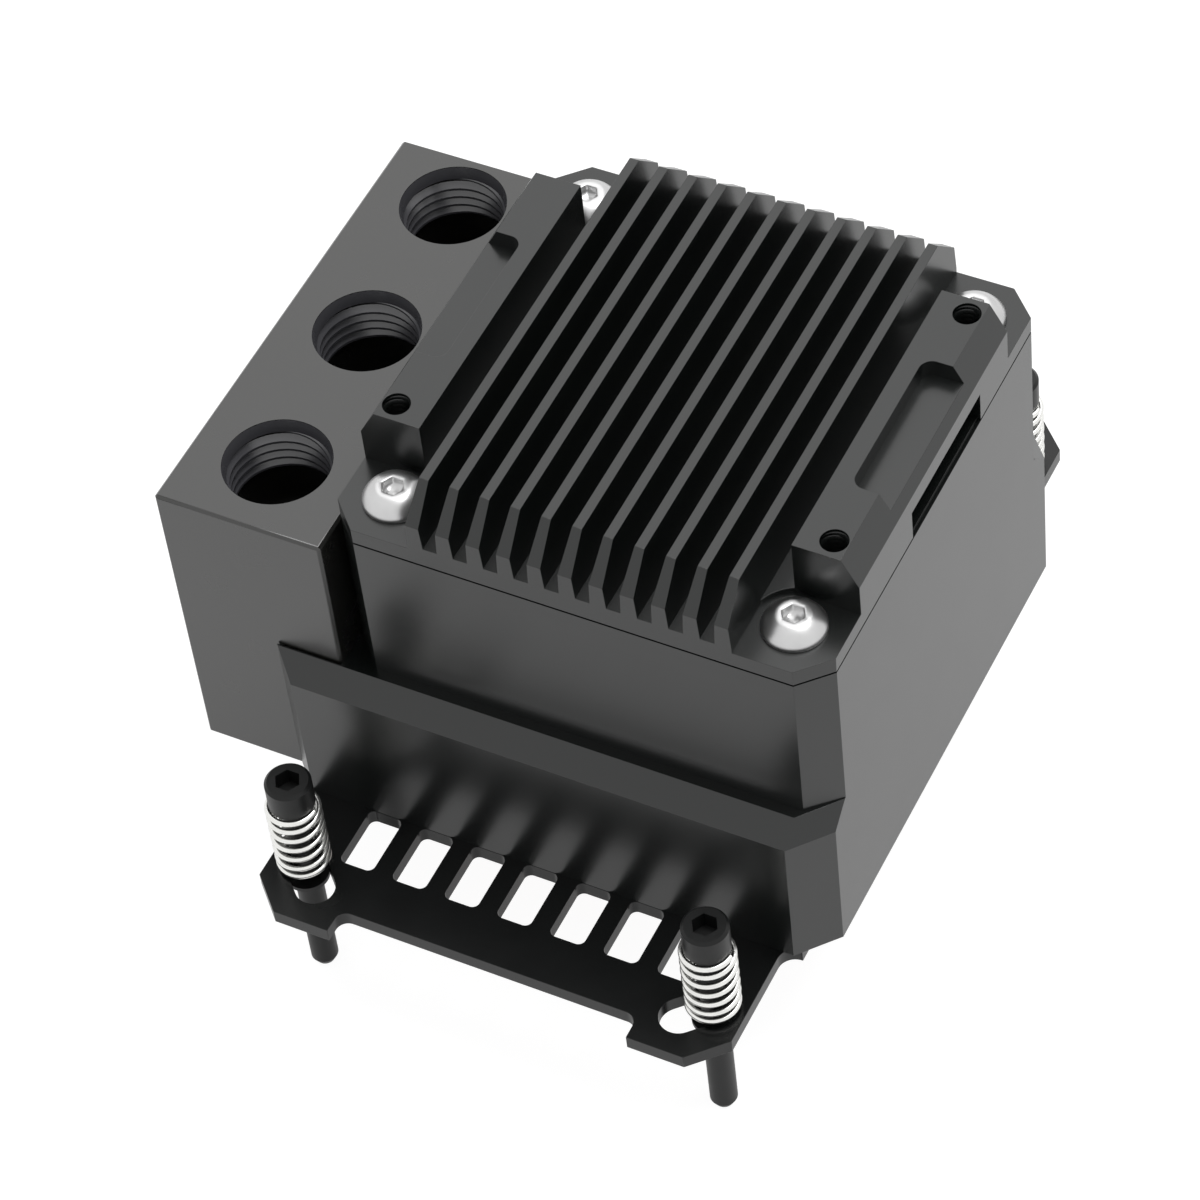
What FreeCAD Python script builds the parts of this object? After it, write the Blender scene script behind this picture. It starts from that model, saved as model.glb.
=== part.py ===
import FreeCAD, Part
import os
import re
import Sketcher

# Liquid cooling cold plate with built-in pump
# Frame: the origin is the centre of the copper contact face, +Z up, X runs along the front.
# Lengths are millimetres.

os.makedirs("parts", exist_ok=True)
doc = FreeCAD.newDocument("ColdPlate")

# Driving sizes
SIZES = {
    # heights, measured up from the copper contact face
    "pedestal_drop": 1.5,
    "bracket_thick": 2.0,
    "housing_high": 45.5,
    "skirt_high": 20.2,
    "slope_high": 2.7,
    # upper housing: a square block with cut corners, set off from the contact face
    "block_wide": 62.0,
    "block_shift": 5.9,
    "corner_cut": 3.6,
    # lower housing: wider than the block at front and back
    "ledge_deep": 1.3,
    "slope_deep": 2.9,
    "skirt_cut_front": 4.2,
    "skirt_cut_side": 4.7,
    "lip_reach": 8.6,
    # port block
    "port_block_wide": 21.9,
    "port_block_front": 31.9,
    "port_block_back": 30.6,
    "port_block_drop": 2.1,
    "block_gap": 0.6,
    "lip_gap": 0.2,
    "port_bore": 13.16,
    "port_deep": 16.0,
    "port_pitch": 22.28,
    "port_shift": 0.42,
    "gallery_bore": 5.0,
    "plug_wide": 8.0,
    "plug_long": 5.0,
    "shaft_bore": 10.0,
    "shaft_sump": 0.8,
    "edge_break": 0.35,
    "seam_deep": 0.5,
    "seam_high": 0.25,
    # coolant ways inside the housing
    "inlet_bore": 6.4,
    "outlet_bore": 4.0,
    "outlet_roof": 0.7,
    "outlet_y": 18.0,
    "feed_bore": 4.0,
    "feed_x": 3.0,
    "feed_y": 11.0,
    "well_bore": 15.0,
    "well_web": 0.9,
    # copper plate and jet plate
    "pedestal_wide": 36.0,
    "window_gap": 0.5,
    "flange_lip": 5.3,
    "flange_thick": 2.0,
    "recess_gap": 0.3,
    "chamber_ring": 5.0,
    "chamber_high": 7.0,
    "copper_fins": 13.0,
    "copper_fin_pitch": 1.8,
    "copper_fin_thick": 0.8,
    "copper_fin_high": 3.0,
    "copper_fin_long": 22.0,
    "jet_wide": 30.0,
    "jet_thick": 1.5,
    "jet_rim": 1.5,
    "jet_slot_long": 20.0,
    "jet_slot_wide": 2.0,
    # seal rings: width and height of each groove
    "seal_wide": 2.0,
    "seal_high": 1.5,
    "seal_slack": 0.3,
    # pump
    "motor_bore": 53.0,
    "motor_deep": 18.0,
    "volute_ring": 4.5,
    "volute_deep": 10.5,
    "volute_floor_thick": 1.5,
    "eye_bore": 14.0,
    "can_flange": 2.0,
    "magnet_clear": 0.5,
    "can_wall": 1.0,
    "can_clear": 2.5,
    "can_slack": 0.3,
    "wheel_wide": 31.0,
    "wheel_plate": 1.2,
    "vane_count": 7.0,
    "vane_high": 4.5,
    "vane_thick": 1.2,
    "vane_start": 8.0,
    "vane_end": 13.6,
    "vane_lean": 6.2,
    "boss_wide": 6.0,
    "wheel_gap": 1.0,
    "hub_wide": 12.0,
    "magnet_wall": 2.7,
    "magnet_high": 10.5,
    "magnet_lift": 1.3,
    "pin_wide": 3.0,
    "pin_fit": 0.05,
    "pole_count": 6.0,
    "pole_wide": 4.0,
    "core_clear": 2.5,
    "core_ring": 4.0,
    "core_high": 8.0,
    "core_lift": 2.0,
    "core_gap": 0.5,
    "coil_build": 2.2,
    "coil_overhang": 1.4,
    "coil_inner_step": 1.9,
    "coil_outer_step": 1.4,
    "coil_slack": 0.1,
    "board_clear": 1.0,
    "board_thick": 1.6,
    "pad_inset": 5.5,
    # lid
    "corner_floor": 2.2,
    "groove_floor": 2.9,
    "fin_count": 11.0,
    "fin_pitch": 3.824,
    "fin_top_thick": 1.2,
    "fin_root_thick": 2.05,
    "fin_top": 10.2,
    "fin_slope": 4.0,
    "rail_wide": 8.0,
    "rail_clear": 0.5,
    "rail_top": 10.4,
    "channel_inset": 1.5,
    "rail_cut_wide": 2.1,
    "rail_cut_high": 3.75,
    "notch_deep": 2.3,
    "notch_long": 20.4,
    "notch_wide": 5.6,
    "notch_round": 1.5,
    "rail_hole": 3.3,
    "rail_hole_deep": 6.0,
    "rail_hole_side": 3.875,
    "rail_hole_end": 2.35,
    "cable_slot_high": 4.15,
    "cable_slot_deep": 7.5,
    "cable_slot_front": 6.6,
    "cable_slot_back": 12.6,
    "spot_clear": 1.1,
    # M4 button-head screws of the lid
    "lid_screw_inset": 6.1,
    "m4_thread": 4.0,
    "button_wide": 7.6,
    "button_high": 2.2,
    "button_flat": 4.0,
    "button_side": 0.5,
    "button_round": 1.1,
    "lid_screw_long": 14.0,
    "hex_key": 2.5,
    "hex_deep": 1.3,
    "screw_fit": 0.05,
    "tip_round": 1.0,
    # M4 cap screws of the port block
    "cap_wide": 7.0,
    "cap_high": 4.0,
    "cap_key": 3.0,
    "cap_key_deep": 2.0,
    "cap_clear": 0.3,
    "block_screw_bite": 6.5,
    "block_screw_low": 9.0,
    "block_screw_high": 21.6,
    "block_screw_front": 9.5,
    "block_screw_back": 11.5,
    # M3 countersunk screws of the bracket
    "m3_thread": 3.0,
    "sink_wide": 5.6,
    "sink_high": 1.6,
    "sink_key": 2.0,
    "sink_key_deep": 0.9,
    "bracket_screw_x": 34.0,
    "bracket_screw_y": 59.0,
    "bracket_screw_long": 9.0,
    # bracket
    "ear_side": 4.1,
    "ear_over": 8.1,
    "ear_wide": 11.5,
    "ear_step": 3.2,
    "ear_cut": 4.2,
    "ear_round": 1.5,
    "waist_inset": 1.0,
    "waist_round": 2.1,
    "slot_count": 7.0,
    "slot_pitch": 7.0,
    "slot_wide": 4.5,
    "slot_gap": 0.05,
    "slot_long": 8.2,
    "slot_round": 0.9,
    # sprung mounting screws: 54 x 90 mm pattern, ear slots reach the 48 x 96 mm pattern
    "mount_x": 54.0,
    "mount_y": 90.0,
    "ear_slot_reach": 3.0,
    "ear_slot_wide": 4.9,
    "mount_thread": 3.36,
    "mount_shank": 3.0,
    "shank_over": 0.5,
    "mount_head_wide": 5.66,
    "mount_head_high": 3.9,
    "mount_key": 2.8,
    "mount_key_deep": 2.2,
    "mount_tip": 16.0,
    "spring_high": 11.7,
    "spring_wide": 6.8,
    "spring_wire": 0.75,
    "clip_catch": 0.3,
    "clip_thick": 0.6,
    "clip_fit": 0.03,
}

# Places that follow from the sizes
PLACES = {
    "bracket_low": "pedestal_drop",
    "under": "bracket_low + bracket_thick",
    "joint": "under + housing_high",
    "slope_low": "under + skirt_high",
    "slope_top": "slope_low + slope_high",
    "half": "block_wide / 2",
    "right": "block_shift + half",
    "left": "block_shift - half",
    "face_left": "left - block_gap",
    "skirt_out": "half + ledge_deep + slope_deep",
    "ledge_out": "half + ledge_deep",
    "lip_in": "port_block_front + lip_gap",
    "lip_back": "port_block_back + lip_gap",
    "lip_end": "face_left - lip_reach",
    "port_x": "face_left - port_block_wide / 2",
    "port_top": "joint - port_block_drop",
    "port_left": "face_left - port_block_wide",
    "recess_top": "under + flange_thick",
    "chamber_top": "recess_top + chamber_high",
    "flange_wide": "pedestal_wide + 2 * flange_lip",
    "chamber_wide": "jet_wide + 2 * chamber_ring",
    "volute_bore": "wheel_wide + 2 * volute_ring",
    "volute_top": "joint - motor_deep",
    "volute_low": "volute_top - volute_deep",
    "well_floor": "chamber_top + well_web",
    "inlet_high": "(well_floor + volute_low) / 2",
    "outlet_high": "chamber_top - outlet_roof - outlet_bore / 2",
    "cold_seal_mid": "(chamber_wide + flange_wide) / 2",
    "can_seal_mid": "(volute_bore + motor_bore) / 2",
    "lid_seal_mid": "motor_bore + 2 * seal_wide",
    "inlet_seal_mid": "inlet_bore + 2 * seal_wide",
    "outlet_seal_mid": "outlet_bore + 2 * seal_wide",
    "floor_top": "volute_low + volute_floor_thick",
    "vane_low": "floor_top + wheel_gap",
    "wheel_low": "vane_low + vane_high",
    "wheel_top": "wheel_low + wheel_plate",
    "magnet_low": "wheel_top + magnet_lift",
    "magnet_top": "magnet_low + magnet_high",
    "can_bore": "hub_wide + 2 * magnet_wall + 2 * magnet_clear",
    "can_top": "magnet_top + can_clear",
    "core_wide": "motor_bore - 2 * core_clear",
    "core_low": "volute_top + can_flange + core_lift",
    "core_in": "can_bore / 2 + can_wall + core_gap",
    "coil_wide": "pole_wide + 2 * coil_build",
    "coil_inset": "core_in + coil_inner_step",
    "coil_long": "core_wide / 2 - core_ring - coil_outer_step - coil_inset",
    "board_wide": "motor_bore - 2 * board_clear",
    "pad_wide": "board_wide - 2 * pad_inset",
    "board_low": "core_low + core_high + coil_overhang",
    "board_top": "board_low + board_thick",
    "lid_corner": "joint + corner_floor",
    "lid_floor": "joint + groove_floor",
    "fin_high": "joint + fin_top",
    "rail_high": "joint + rail_top",
    "fin_block": "(fin_count - 1) * fin_pitch + fin_root_thick",
    "rail_in": "half - rail_wide",
    "lid_screw_pitch": "block_wide - 2 * lid_screw_inset",
    "rail_long": "lid_screw_pitch - button_wide - 2 * rail_clear",
    "channel_long": "lid_screw_pitch - 2 * channel_inset",
    "rail_hole_x": "block_wide - 2 * rail_hole_side",
    "rail_hole_y": "rail_long - 2 * rail_hole_end",
    "spot_face": "button_wide + 2 * spot_clear",
    "bracket_wide": "mount_x + 2 * ear_side",
    "bracket_long": "mount_y + 2 * ear_over",
    "waist": "right - corner_cut",
    "hips": "skirt_out - waist_inset",
    "slot_near": "skirt_out + slot_gap",
    "slot_far": "slot_near + slot_long",
    "head_low": "under + spring_high",
    "clip_wide": "ear_slot_wide + 2 * clip_catch",
    "jet_low": "recess_top + copper_fin_high",
}

sheet = doc.addObject("Spreadsheet::Sheet", "Sizes")
for row, (alias, value) in enumerate(SIZES.items(), 1):
    sheet.set("A%d" % row, alias)
    sheet.set("B%d" % row, str(value))
    sheet.setAlias("B%d" % row, alias)
doc.recompute()


def bind(text):
    """Turn a formula in plain names into one that points at the sheet."""
    def swap(match):
        word = match.group(0)
        if word in PLACES:
            return "(" + bind(PLACES[word]) + ")"
        if word in SIZES:
            return "Sizes." + word
        return word
    return re.sub(r"[a-z][a-z0-9_]*", swap, text)


def number(text):
    """The present value of a formula."""
    value = sheet.evalExpression(bind(text))
    return float(getattr(value, "Value", value))


def new_body(label, x=None, y=None, z=None):
    body = doc.addObject("PartDesign::Body", label)
    body.Label = label
    for axis, text in (("x", x), ("y", y), ("z", z)):
        if text:
            body.setExpression("Placement.Base." + axis, bind(text))
    return body


def new_sketch(body, role, offset=None):
    """An empty sketch on one of the body's own origin planes."""
    sketch = body.newObject("Sketcher::SketchObject", body.Label + "_sketch")
    plane = next(item for item in body.Origin.OriginFeatures if item.Role == role)
    sketch.AttachmentSupport = [(plane, "")]
    sketch.MapMode = "FlatFace"
    if offset:
        sketch.setExpression("AttachmentOffset.Base.z", bind(offset))
    return sketch


def hold(sketch, kind, where, text):
    """Add one driven dimension to a sketch and bind it."""
    value = number(text)
    index = sketch.addConstraint(Sketcher.Constraint(kind, *where, value))
    name = "d%d" % index
    sketch.renameConstraint(index, name)
    sketch.setExpression("Constraints." + name, bind(text))


def polygon(sketch, points):
    """A closed outline whose every corner is held by two bound dimensions."""
    flat = [FreeCAD.Vector(number(x), number(y), 0) for x, y in points]
    first = sketch.GeometryCount
    count = len(flat)
    for i in range(count):
        sketch.addGeometry(Part.LineSegment(flat[i], flat[(i + 1) % count]), False)
    for i in range(count):
        follower = first + (i + 1) % count
        sketch.addConstraint(Sketcher.Constraint("Coincident", first + i, 2, follower, 1))
    for i, (x, y) in enumerate(points):
        hold(sketch, "DistanceX", (first + i, 1), x)
        hold(sketch, "DistanceY", (first + i, 1), y)
    return sketch


def circle(sketch, x, y, wide):
    index = sketch.GeometryCount
    centre = FreeCAD.Vector(number(x), number(y), 0)
    normal = FreeCAD.Vector(0, 0, 1)
    sketch.addGeometry(Part.Circle(centre, normal, number(wide) / 2), False)
    hold(sketch, "DistanceX", (index, 3), x)
    hold(sketch, "DistanceY", (index, 3), y)
    hold(sketch, "Diameter", (index,), wide)
    return sketch


def box_points(x0, x1, y0, y1):
    return [(x0, y0), (x1, y0), (x1, y1), (x0, y1)]


def hexagon(sketch, across):
    """A six-sided outline round the origin, given across its flats."""
    side = across + " / 2"
    tip = across + " / 2 / cos(30)"
    half_tip = across + " / 4 / cos(30)"
    points = [(tip, "0"), (half_tip, side), ("-" + half_tip, side)]
    points += [("-" + tip, "0"), ("-" + half_tip, "-" + side), (half_tip, "-" + side)]
    return polygon(sketch, points)


def pad(body, sketch, length, back=False):
    feature = body.newObject("PartDesign::Pad", body.Label + "_pad")
    feature.Profile = sketch
    feature.setExpression("Length", bind(length))
    feature.Reversed = back
    doc.recompute()
    return feature


def pocket(body, sketch, length, back=False):
    """Cut along the sketch's negative normal, or its positive one with back."""
    before = body.Shape.Volume
    feature = body.newObject("PartDesign::Pocket", body.Label + "_pocket")
    feature.Profile = sketch
    feature.setExpression("Length", bind(length))
    feature.Reversed = back
    doc.recompute()
    if body.Shape.Volume >= before - 1e-6:
        raise ValueError("a pocket in " + body.Label + " cuts nothing")
    return feature


def turn(body, points):
    """One revolution about the body's Z axis of an outline given as radius and height."""
    sketch = polygon(new_sketch(body, "XZ_Plane"), points)
    feature = body.newObject("PartDesign::Revolution", body.Label + "_turn")
    feature.Profile = sketch
    feature.ReferenceAxis = (sketch, ["V_Axis"])
    feature.Angle = 360
    doc.recompute()
    return feature


def repeat(body, feature, kind, axis, count, spread):
    """Repeat one feature along or about an axis of its own sketch."""
    pattern = body.newObject("PartDesign::" + kind, body.Label + "_pattern")
    pattern.Originals = [feature]
    if kind == "LinearPattern":
        pattern.Direction = (feature.Profile[0], [axis])
        pattern.setExpression("Length", bind(spread))
    else:
        pattern.Axis = (feature.Profile[0], [axis])
        pattern.Angle = 360
    pattern.setExpression("Occurrences", bind(count))
    body.Tip = pattern
    doc.recompute()
    return pattern


def edges_where(feature, test):
    names = []
    for index, edge in enumerate(feature.Shape.Edges, 1):
        start = edge.Vertexes[0].Point
        end = edge.Vertexes[-1].Point
        if test(start, end):
            names.append("Edge%d" % index)
    if not names:
        raise ValueError("no edge found on " + feature.Name)
    return names


def upright(start, end):
    return abs(start.x - end.x) < 1e-6 and abs(start.y - end.y) < 1e-6


def dress(body, kind, feature, names, size):
    """Round or bevel chosen edges."""
    result = body.newObject("PartDesign::" + kind, body.Label + "_edge")
    result.Base = (feature, names)
    result.setExpression("Radius" if kind == "Fillet" else "Size", bind(size))
    body.Tip = result
    doc.recompute()
    if not result.Shape.isValid():
        raise ValueError("an edge of " + body.Label + " can't be dressed")
    return result


def cut_square(inset="0"):
    """The upper block's outline, or one set in from it: a square with its four corners cut."""
    out = "(half - " + inset + ")"
    near = "(half - corner_cut - " + inset + " / 2)"
    x = "block_shift"
    return [
        (x + " + " + out, "-" + near),
        (x + " + " + out, near),
        (x + " + " + near, out),
        (x + " - " + near, out),
        (x + " - " + out, near),
        (x + " - " + out, "-" + near),
        (x + " - " + near, "-" + out),
        (x + " + " + near, "-" + out),
    ]


def skirt(out):
    """The lower housing's outline, with its two lips beside the port block."""
    corner = "(" + out + " - skirt_cut_side)"
    bevel = "(" + out + " - lip_in)"
    bevel_back = "(" + out + " - lip_back)"
    return [
        ("right", "-" + corner),
        ("right", corner),
        ("right - skirt_cut_front", out),
        ("lip_end + " + bevel_back, out),
        ("lip_end", "lip_back"),
        ("face_left", "lip_back"),
        ("face_left", "-lip_in"),
        ("lip_end", "-lip_in"),
        ("lip_end + " + bevel, "-(" + out + ")"),
        ("right - skirt_cut_front", "-(" + out + ")"),
    ]


pieces = []
corners = [(1, -1), (-1, -1), (-1, 1), (1, 1)]

# Pump housing
# Upper block with cut corners, a sloped band all round the front and back, a wider skirt below
housing = new_body("pump_housing")
block = polygon(new_sketch(housing, "XY_Plane", "slope_low"), cut_square())
pad(housing, block, "joint - slope_low")
low = polygon(new_sketch(housing, "XY_Plane", "under"), skirt("skirt_out"))
pad(housing, low, "skirt_high")
wide_end = polygon(new_sketch(housing, "XY_Plane", "slope_low"), skirt("skirt_out"))
slim_end = polygon(new_sketch(housing, "XY_Plane", "slope_top"), skirt("ledge_out"))
band = housing.newObject("PartDesign::AdditiveLoft", "pump_housing_band")
band.Profile = wide_end
band.Sections = [slim_end]
band.Ruled = True
doc.recompute()

# Shadow seam: the rim steps in under the lid
seam = polygon(new_sketch(housing, "XY_Plane", "joint"), cut_square("(-seam_deep)"))
pocket(housing, polygon(seam, cut_square("seam_deep")), "seam_high")

# Motor space, wheel chamber and the well under the wheel
top_view = new_sketch(housing, "XY_Plane", "joint")
pocket(housing, circle(top_view, "block_shift", "0", "motor_bore"), "motor_deep")
top_view = new_sketch(housing, "XY_Plane", "joint")
pocket(housing, circle(top_view, "block_shift", "0", "volute_bore"), "motor_deep + volute_deep")
top_view = new_sketch(housing, "XY_Plane", "volute_low")
pocket(housing, circle(top_view, "block_shift", "0", "well_bore"), "volute_low - well_floor")

# Recess of the copper flange and the round coolant chamber over it
reach = "(flange_wide / 2 + recess_gap)"
below = new_sketch(housing, "XY_Plane", "under")
pocket(housing, polygon(below, box_points("-" + reach, reach, "-" + reach, reach)), "flange_thick", True)
below = new_sketch(housing, "XY_Plane", "under")
pocket(housing, circle(below, "0", "0", "chamber_wide"), "flange_thick + chamber_high", True)

# Feed from the wheel chamber down to the jet plate
below = new_sketch(housing, "XY_Plane", "volute_low")
pocket(housing, circle(below, "feed_x", "feed_y", "feed_bore"), "volute_low - chamber_top + chamber_high / 2")

# Inlet to the well and outlet from the chamber, both open to the port block
side = new_sketch(housing, "YZ_Plane", "face_left")
pocket(housing, circle(side, "port_shift", "inlet_high", "inlet_bore"), "block_shift - face_left", True)
side = new_sketch(housing, "YZ_Plane", "face_left")
pocket(housing, circle(side, "-outlet_y", "outlet_high", "outlet_bore"), "-face_left", True)


def ring_groove(body, role, offset, x, y, middle, deep, back):
    """A round groove for a seal ring."""
    groove = new_sketch(body, role, offset)
    circle(groove, x, y, middle + " - seal_wide")
    circle(groove, x, y, middle + " + seal_wide")
    pocket(body, groove, deep, back)


ring_groove(housing, "XY_Plane", "recess_top", "0", "0", "cold_seal_mid", "seal_high", True)
ring_groove(housing, "XY_Plane", "volute_top", "block_shift", "0", "can_seal_mid", "seal_high", False)
ring_groove(housing, "XY_Plane", "joint", "block_shift", "0", "lid_seal_mid", "seal_high", False)

# Screw holes: lid from above, bracket from below, port block from the left
holes = new_sketch(housing, "XY_Plane", "joint")
for sx, sy in corners:
    circle(holes, "block_shift + %d * lid_screw_pitch / 2" % sx, "%d * lid_screw_pitch / 2" % sy,
           "m4_thread + screw_fit")
pocket(housing, holes, "lid_screw_long")
holes = new_sketch(housing, "XY_Plane", "under")
for sx, sy in corners:
    circle(holes, "%d * bracket_screw_x / 2" % sx, "%d * bracket_screw_y / 2" % sy, "m3_thread + screw_fit")
pocket(housing, holes, "bracket_screw_long", True)
block_screw_places = []
for depth in ("-block_screw_front", "block_screw_back"):
    for height in ("block_screw_low", "block_screw_high"):
        block_screw_places.append((depth, height))
holes = new_sketch(housing, "YZ_Plane", "face_left")
for depth, height in block_screw_places:
    circle(holes, depth, height, "m4_thread + screw_fit")
pocket(housing, holes, "block_screw_bite", True)
pieces.append(housing)

# Port block: one tall block with three threaded ports in its top
ports = ["port_shift - port_pitch", "port_shift", "port_shift + port_pitch"]
manifold = new_body("port_block")
plan = new_sketch(manifold, "XY_Plane", "under")
polygon(plan, box_points("port_left", "face_left", "-port_block_front", "port_block_back"))
solid = pad(manifold, plan, "port_top - under")
rim = edges_where(solid, lambda a, b: min(a.z, b.z) > number("port_top") - 1e-6)
rim += edges_where(solid, lambda a, b: upright(a, b))
dress(manifold, "Chamfer", solid, rim, "edge_break")
mouths = new_sketch(manifold, "XY_Plane", "port_top")
for y in ports:
    circle(mouths, "port_x", y, "port_bore")
pocket(manifold, mouths, "port_deep")
front_shaft = new_sketch(manifold, "XY_Plane", "port_top")
circle(front_shaft, "port_x", ports[0], "shaft_bore")
pocket(manifold, front_shaft, "port_top - outlet_high + outlet_bore / 2 + shaft_sump")
back_shafts = new_sketch(manifold, "XY_Plane", "port_top")
for y in ports[1:]:
    circle(back_shafts, "port_x", y, "shaft_bore")
pocket(manifold, back_shafts, "port_top - inlet_high + inlet_bore / 2 + shaft_sump")

# Cross bores to the housing, and the gallery that joins the two rear ports
across = new_sketch(manifold, "YZ_Plane", "face_left")
circle(across, "port_shift", "inlet_high", "inlet_bore")
circle(across, "-outlet_y", "outlet_high", "outlet_bore")
pocket(manifold, across, "port_block_wide / 2")
along = new_sketch(manifold, "XZ_Plane", "-port_block_back")
pocket(manifold, circle(along, "port_x", "inlet_high", "gallery_bore"), "port_block_back - port_shift", True)
along = new_sketch(manifold, "XZ_Plane", "-port_block_back")
pocket(manifold, circle(along, "port_x", "inlet_high", "plug_wide + screw_fit"), "plug_long", True)
for y, z, middle in (("port_shift", "inlet_high", "inlet_seal_mid"),
                     ("-outlet_y", "outlet_high", "outlet_seal_mid")):
    ring_groove(manifold, "YZ_Plane", "face_left", y, z, middle, "seal_high", False)
shanks = new_sketch(manifold, "YZ_Plane", "face_left")
sinks = new_sketch(manifold, "YZ_Plane", "port_left")
for depth, height in block_screw_places:
    circle(shanks, depth, height, "m4_thread + screw_fit")
    circle(sinks, depth, height, "cap_wide + 2 * cap_clear")
pocket(manifold, shanks, "port_block_wide")
pocket(manifold, sinks, "cap_high", True)
pieces.append(manifold)

plug = new_body("gallery_plug", "port_x", "port_block_back - plug_long", "inlet_high")
disc = circle(new_sketch(plug, "XZ_Plane"), "0", "0", "plug_wide")
pad(plug, disc, "plug_long", True)
pocket(plug, hexagon(new_sketch(plug, "XZ_Plane", "-plug_long"), "cap_key"), "cap_key_deep", True)
pieces.append(plug)


def socket_screw(label, x, y, z, head, head_high, thread, reach, key, key_deep, shank, neck):
    """A cap screw standing head up on the local origin plane, its shank plain down to the neck."""
    body = new_body(label, x, y, z)
    turn(body, [
        ("0", "-(" + reach + ")"),
        (thread + " / 2 - tip_round / 2", "-(" + reach + ")"),
        (thread + " / 2", "tip_round - (" + reach + ")"),
        (thread + " / 2", "-(" + neck + ")"),
        (shank + " / 2", "-(" + neck + ")"),
        (shank + " / 2", "0"),
        (head + " / 2", "0"),
        (head + " / 2", head_high + " - edge_break"),
        (head + " / 2 - edge_break", head_high),
        ("0", head_high),
    ])
    pocket(body, hexagon(new_sketch(body, "XY_Plane", head_high), key), key_deep)
    return body


def gather(label, members):
    """One node of identical fasteners, each still a solid of its own."""
    group = doc.addObject("Part::Compound", label)
    group.Label = label
    group.Links = members
    doc.recompute()
    return group


# Cap screws of the port block, lying along X with their heads sunk in its left face
cap_screws = []
for n, (depth, height) in enumerate(block_screw_places, 1):
    neck = "port_block_wide - cap_high - seal_high"
    reach = "port_block_wide - cap_high + block_screw_bite"
    screw = socket_screw("block_screw_%d" % n, "port_left + cap_high", depth, height, "cap_wide", "cap_high",
                         "m4_thread", reach, "cap_key", "cap_key_deep", "(m4_thread - screw_fit)", neck)
    screw.Placement.Rotation = FreeCAD.Rotation(FreeCAD.Vector(0, 1, 0), -90)
    cap_screws.append(screw)
pieces.append(gather("block_screws", cap_screws))

# Countersunk screws of the bracket, driven from below
sunk_screws = []
for n, (sx, sy) in enumerate(corners, 1):
    screw = new_body("bracket_screw_%d" % n, "%d * bracket_screw_x / 2" % sx,
                     "%d * bracket_screw_y / 2" % sy, "bracket_low")
    turn(screw, [
        ("0", "0"),
        ("sink_wide / 2", "0"),
        ("m3_thread / 2", "sink_high"),
        ("m3_thread / 2", "bracket_thick + bracket_screw_long - screw_fit"),
        ("0", "bracket_thick + bracket_screw_long - screw_fit"),
    ])
    pocket(screw, hexagon(new_sketch(screw, "XY_Plane"), "sink_key"), "sink_key_deep", True)
    sunk_screws.append(screw)
pieces.append(gather("bracket_screws", sunk_screws))

# Button-head screws of the lid
button_screws = []
for n, (sx, sy) in enumerate(corners, 1):
    screw = new_body("lid_screw_%d" % n, "block_shift + %d * lid_screw_pitch / 2" % sx,
                     "%d * lid_screw_pitch / 2" % sy, "lid_corner")
    dome = turn(screw, [
        ("0", "-lid_screw_long"),
        ("m4_thread / 2", "-lid_screw_long"),
        ("m4_thread / 2", "0"),
        ("button_wide / 2", "0"),
        ("button_wide / 2", "button_side"),
        ("button_flat / 2", "button_high"),
        ("0", "button_high"),
    ])
    side = number("button_side")
    rings = edges_where(dome, lambda a, b: (a - b).Length < 1e-6 and a.z > side - 1e-6)
    dress(screw, "Fillet", dome, rings, "button_round")
    pocket(screw, hexagon(new_sketch(screw, "XY_Plane", "button_high"), "hex_key"), "hex_deep")
    button_screws.append(screw)
pieces.append(gather("lid_screws", button_screws))

# Finned lid
# Plate, raised middle, fins with sloped ends, then the rails and their cuts
lid = new_body("heatsink_lid")
pad(lid, polygon(new_sketch(lid, "XY_Plane", "joint"), cut_square()), "corner_floor")
middle = new_sketch(lid, "XY_Plane", "lid_corner")
polygon(middle, box_points("block_shift - fin_block / 2", "block_shift + fin_block / 2", "-half", "half"))
pad(lid, middle, "groove_floor - corner_floor")
sides = new_sketch(lid, "XY_Plane", "lid_corner")
polygon(sides, box_points("block_shift - rail_in", "block_shift + rail_in",
                          "-channel_long / 2", "channel_long / 2"))
pad(lid, sides, "groove_floor - corner_floor")
faced = new_sketch(lid, "XY_Plane", "lid_floor")
for sx, sy in corners:
    circle(faced, "block_shift + %d * lid_screw_pitch / 2" % sx, "%d * lid_screw_pitch / 2" % sy, "spot_face")
pocket(lid, faced, "groove_floor - corner_floor")

first_fin = "block_shift - (fin_count - 1) * fin_pitch / 2"
section = polygon(new_sketch(lid, "XZ_Plane", "-half"), [
    (first_fin + " - fin_root_thick / 2", "lid_corner"),
    (first_fin + " + fin_root_thick / 2", "lid_corner"),
    (first_fin + " + fin_root_thick / 2", "lid_floor"),
    (first_fin + " + fin_top_thick / 2", "fin_high"),
    (first_fin + " - fin_top_thick / 2", "fin_high"),
    (first_fin + " - fin_root_thick / 2", "lid_floor"),
])
fin = pad(lid, section, "block_wide")
repeat(lid, fin, "LinearPattern", "H_Axis", "fin_count", "(fin_count - 1) * fin_pitch")
ends = new_sketch(lid, "YZ_Plane", "left")
for side in ("-", ""):
    polygon(ends, [
        (side + "half", "fin_high - fin_slope"),
        (side + "half", "fin_high"),
        (side + "(half - fin_slope)", "fin_high"),
    ])
pocket(lid, ends, "block_wide", True)

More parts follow.
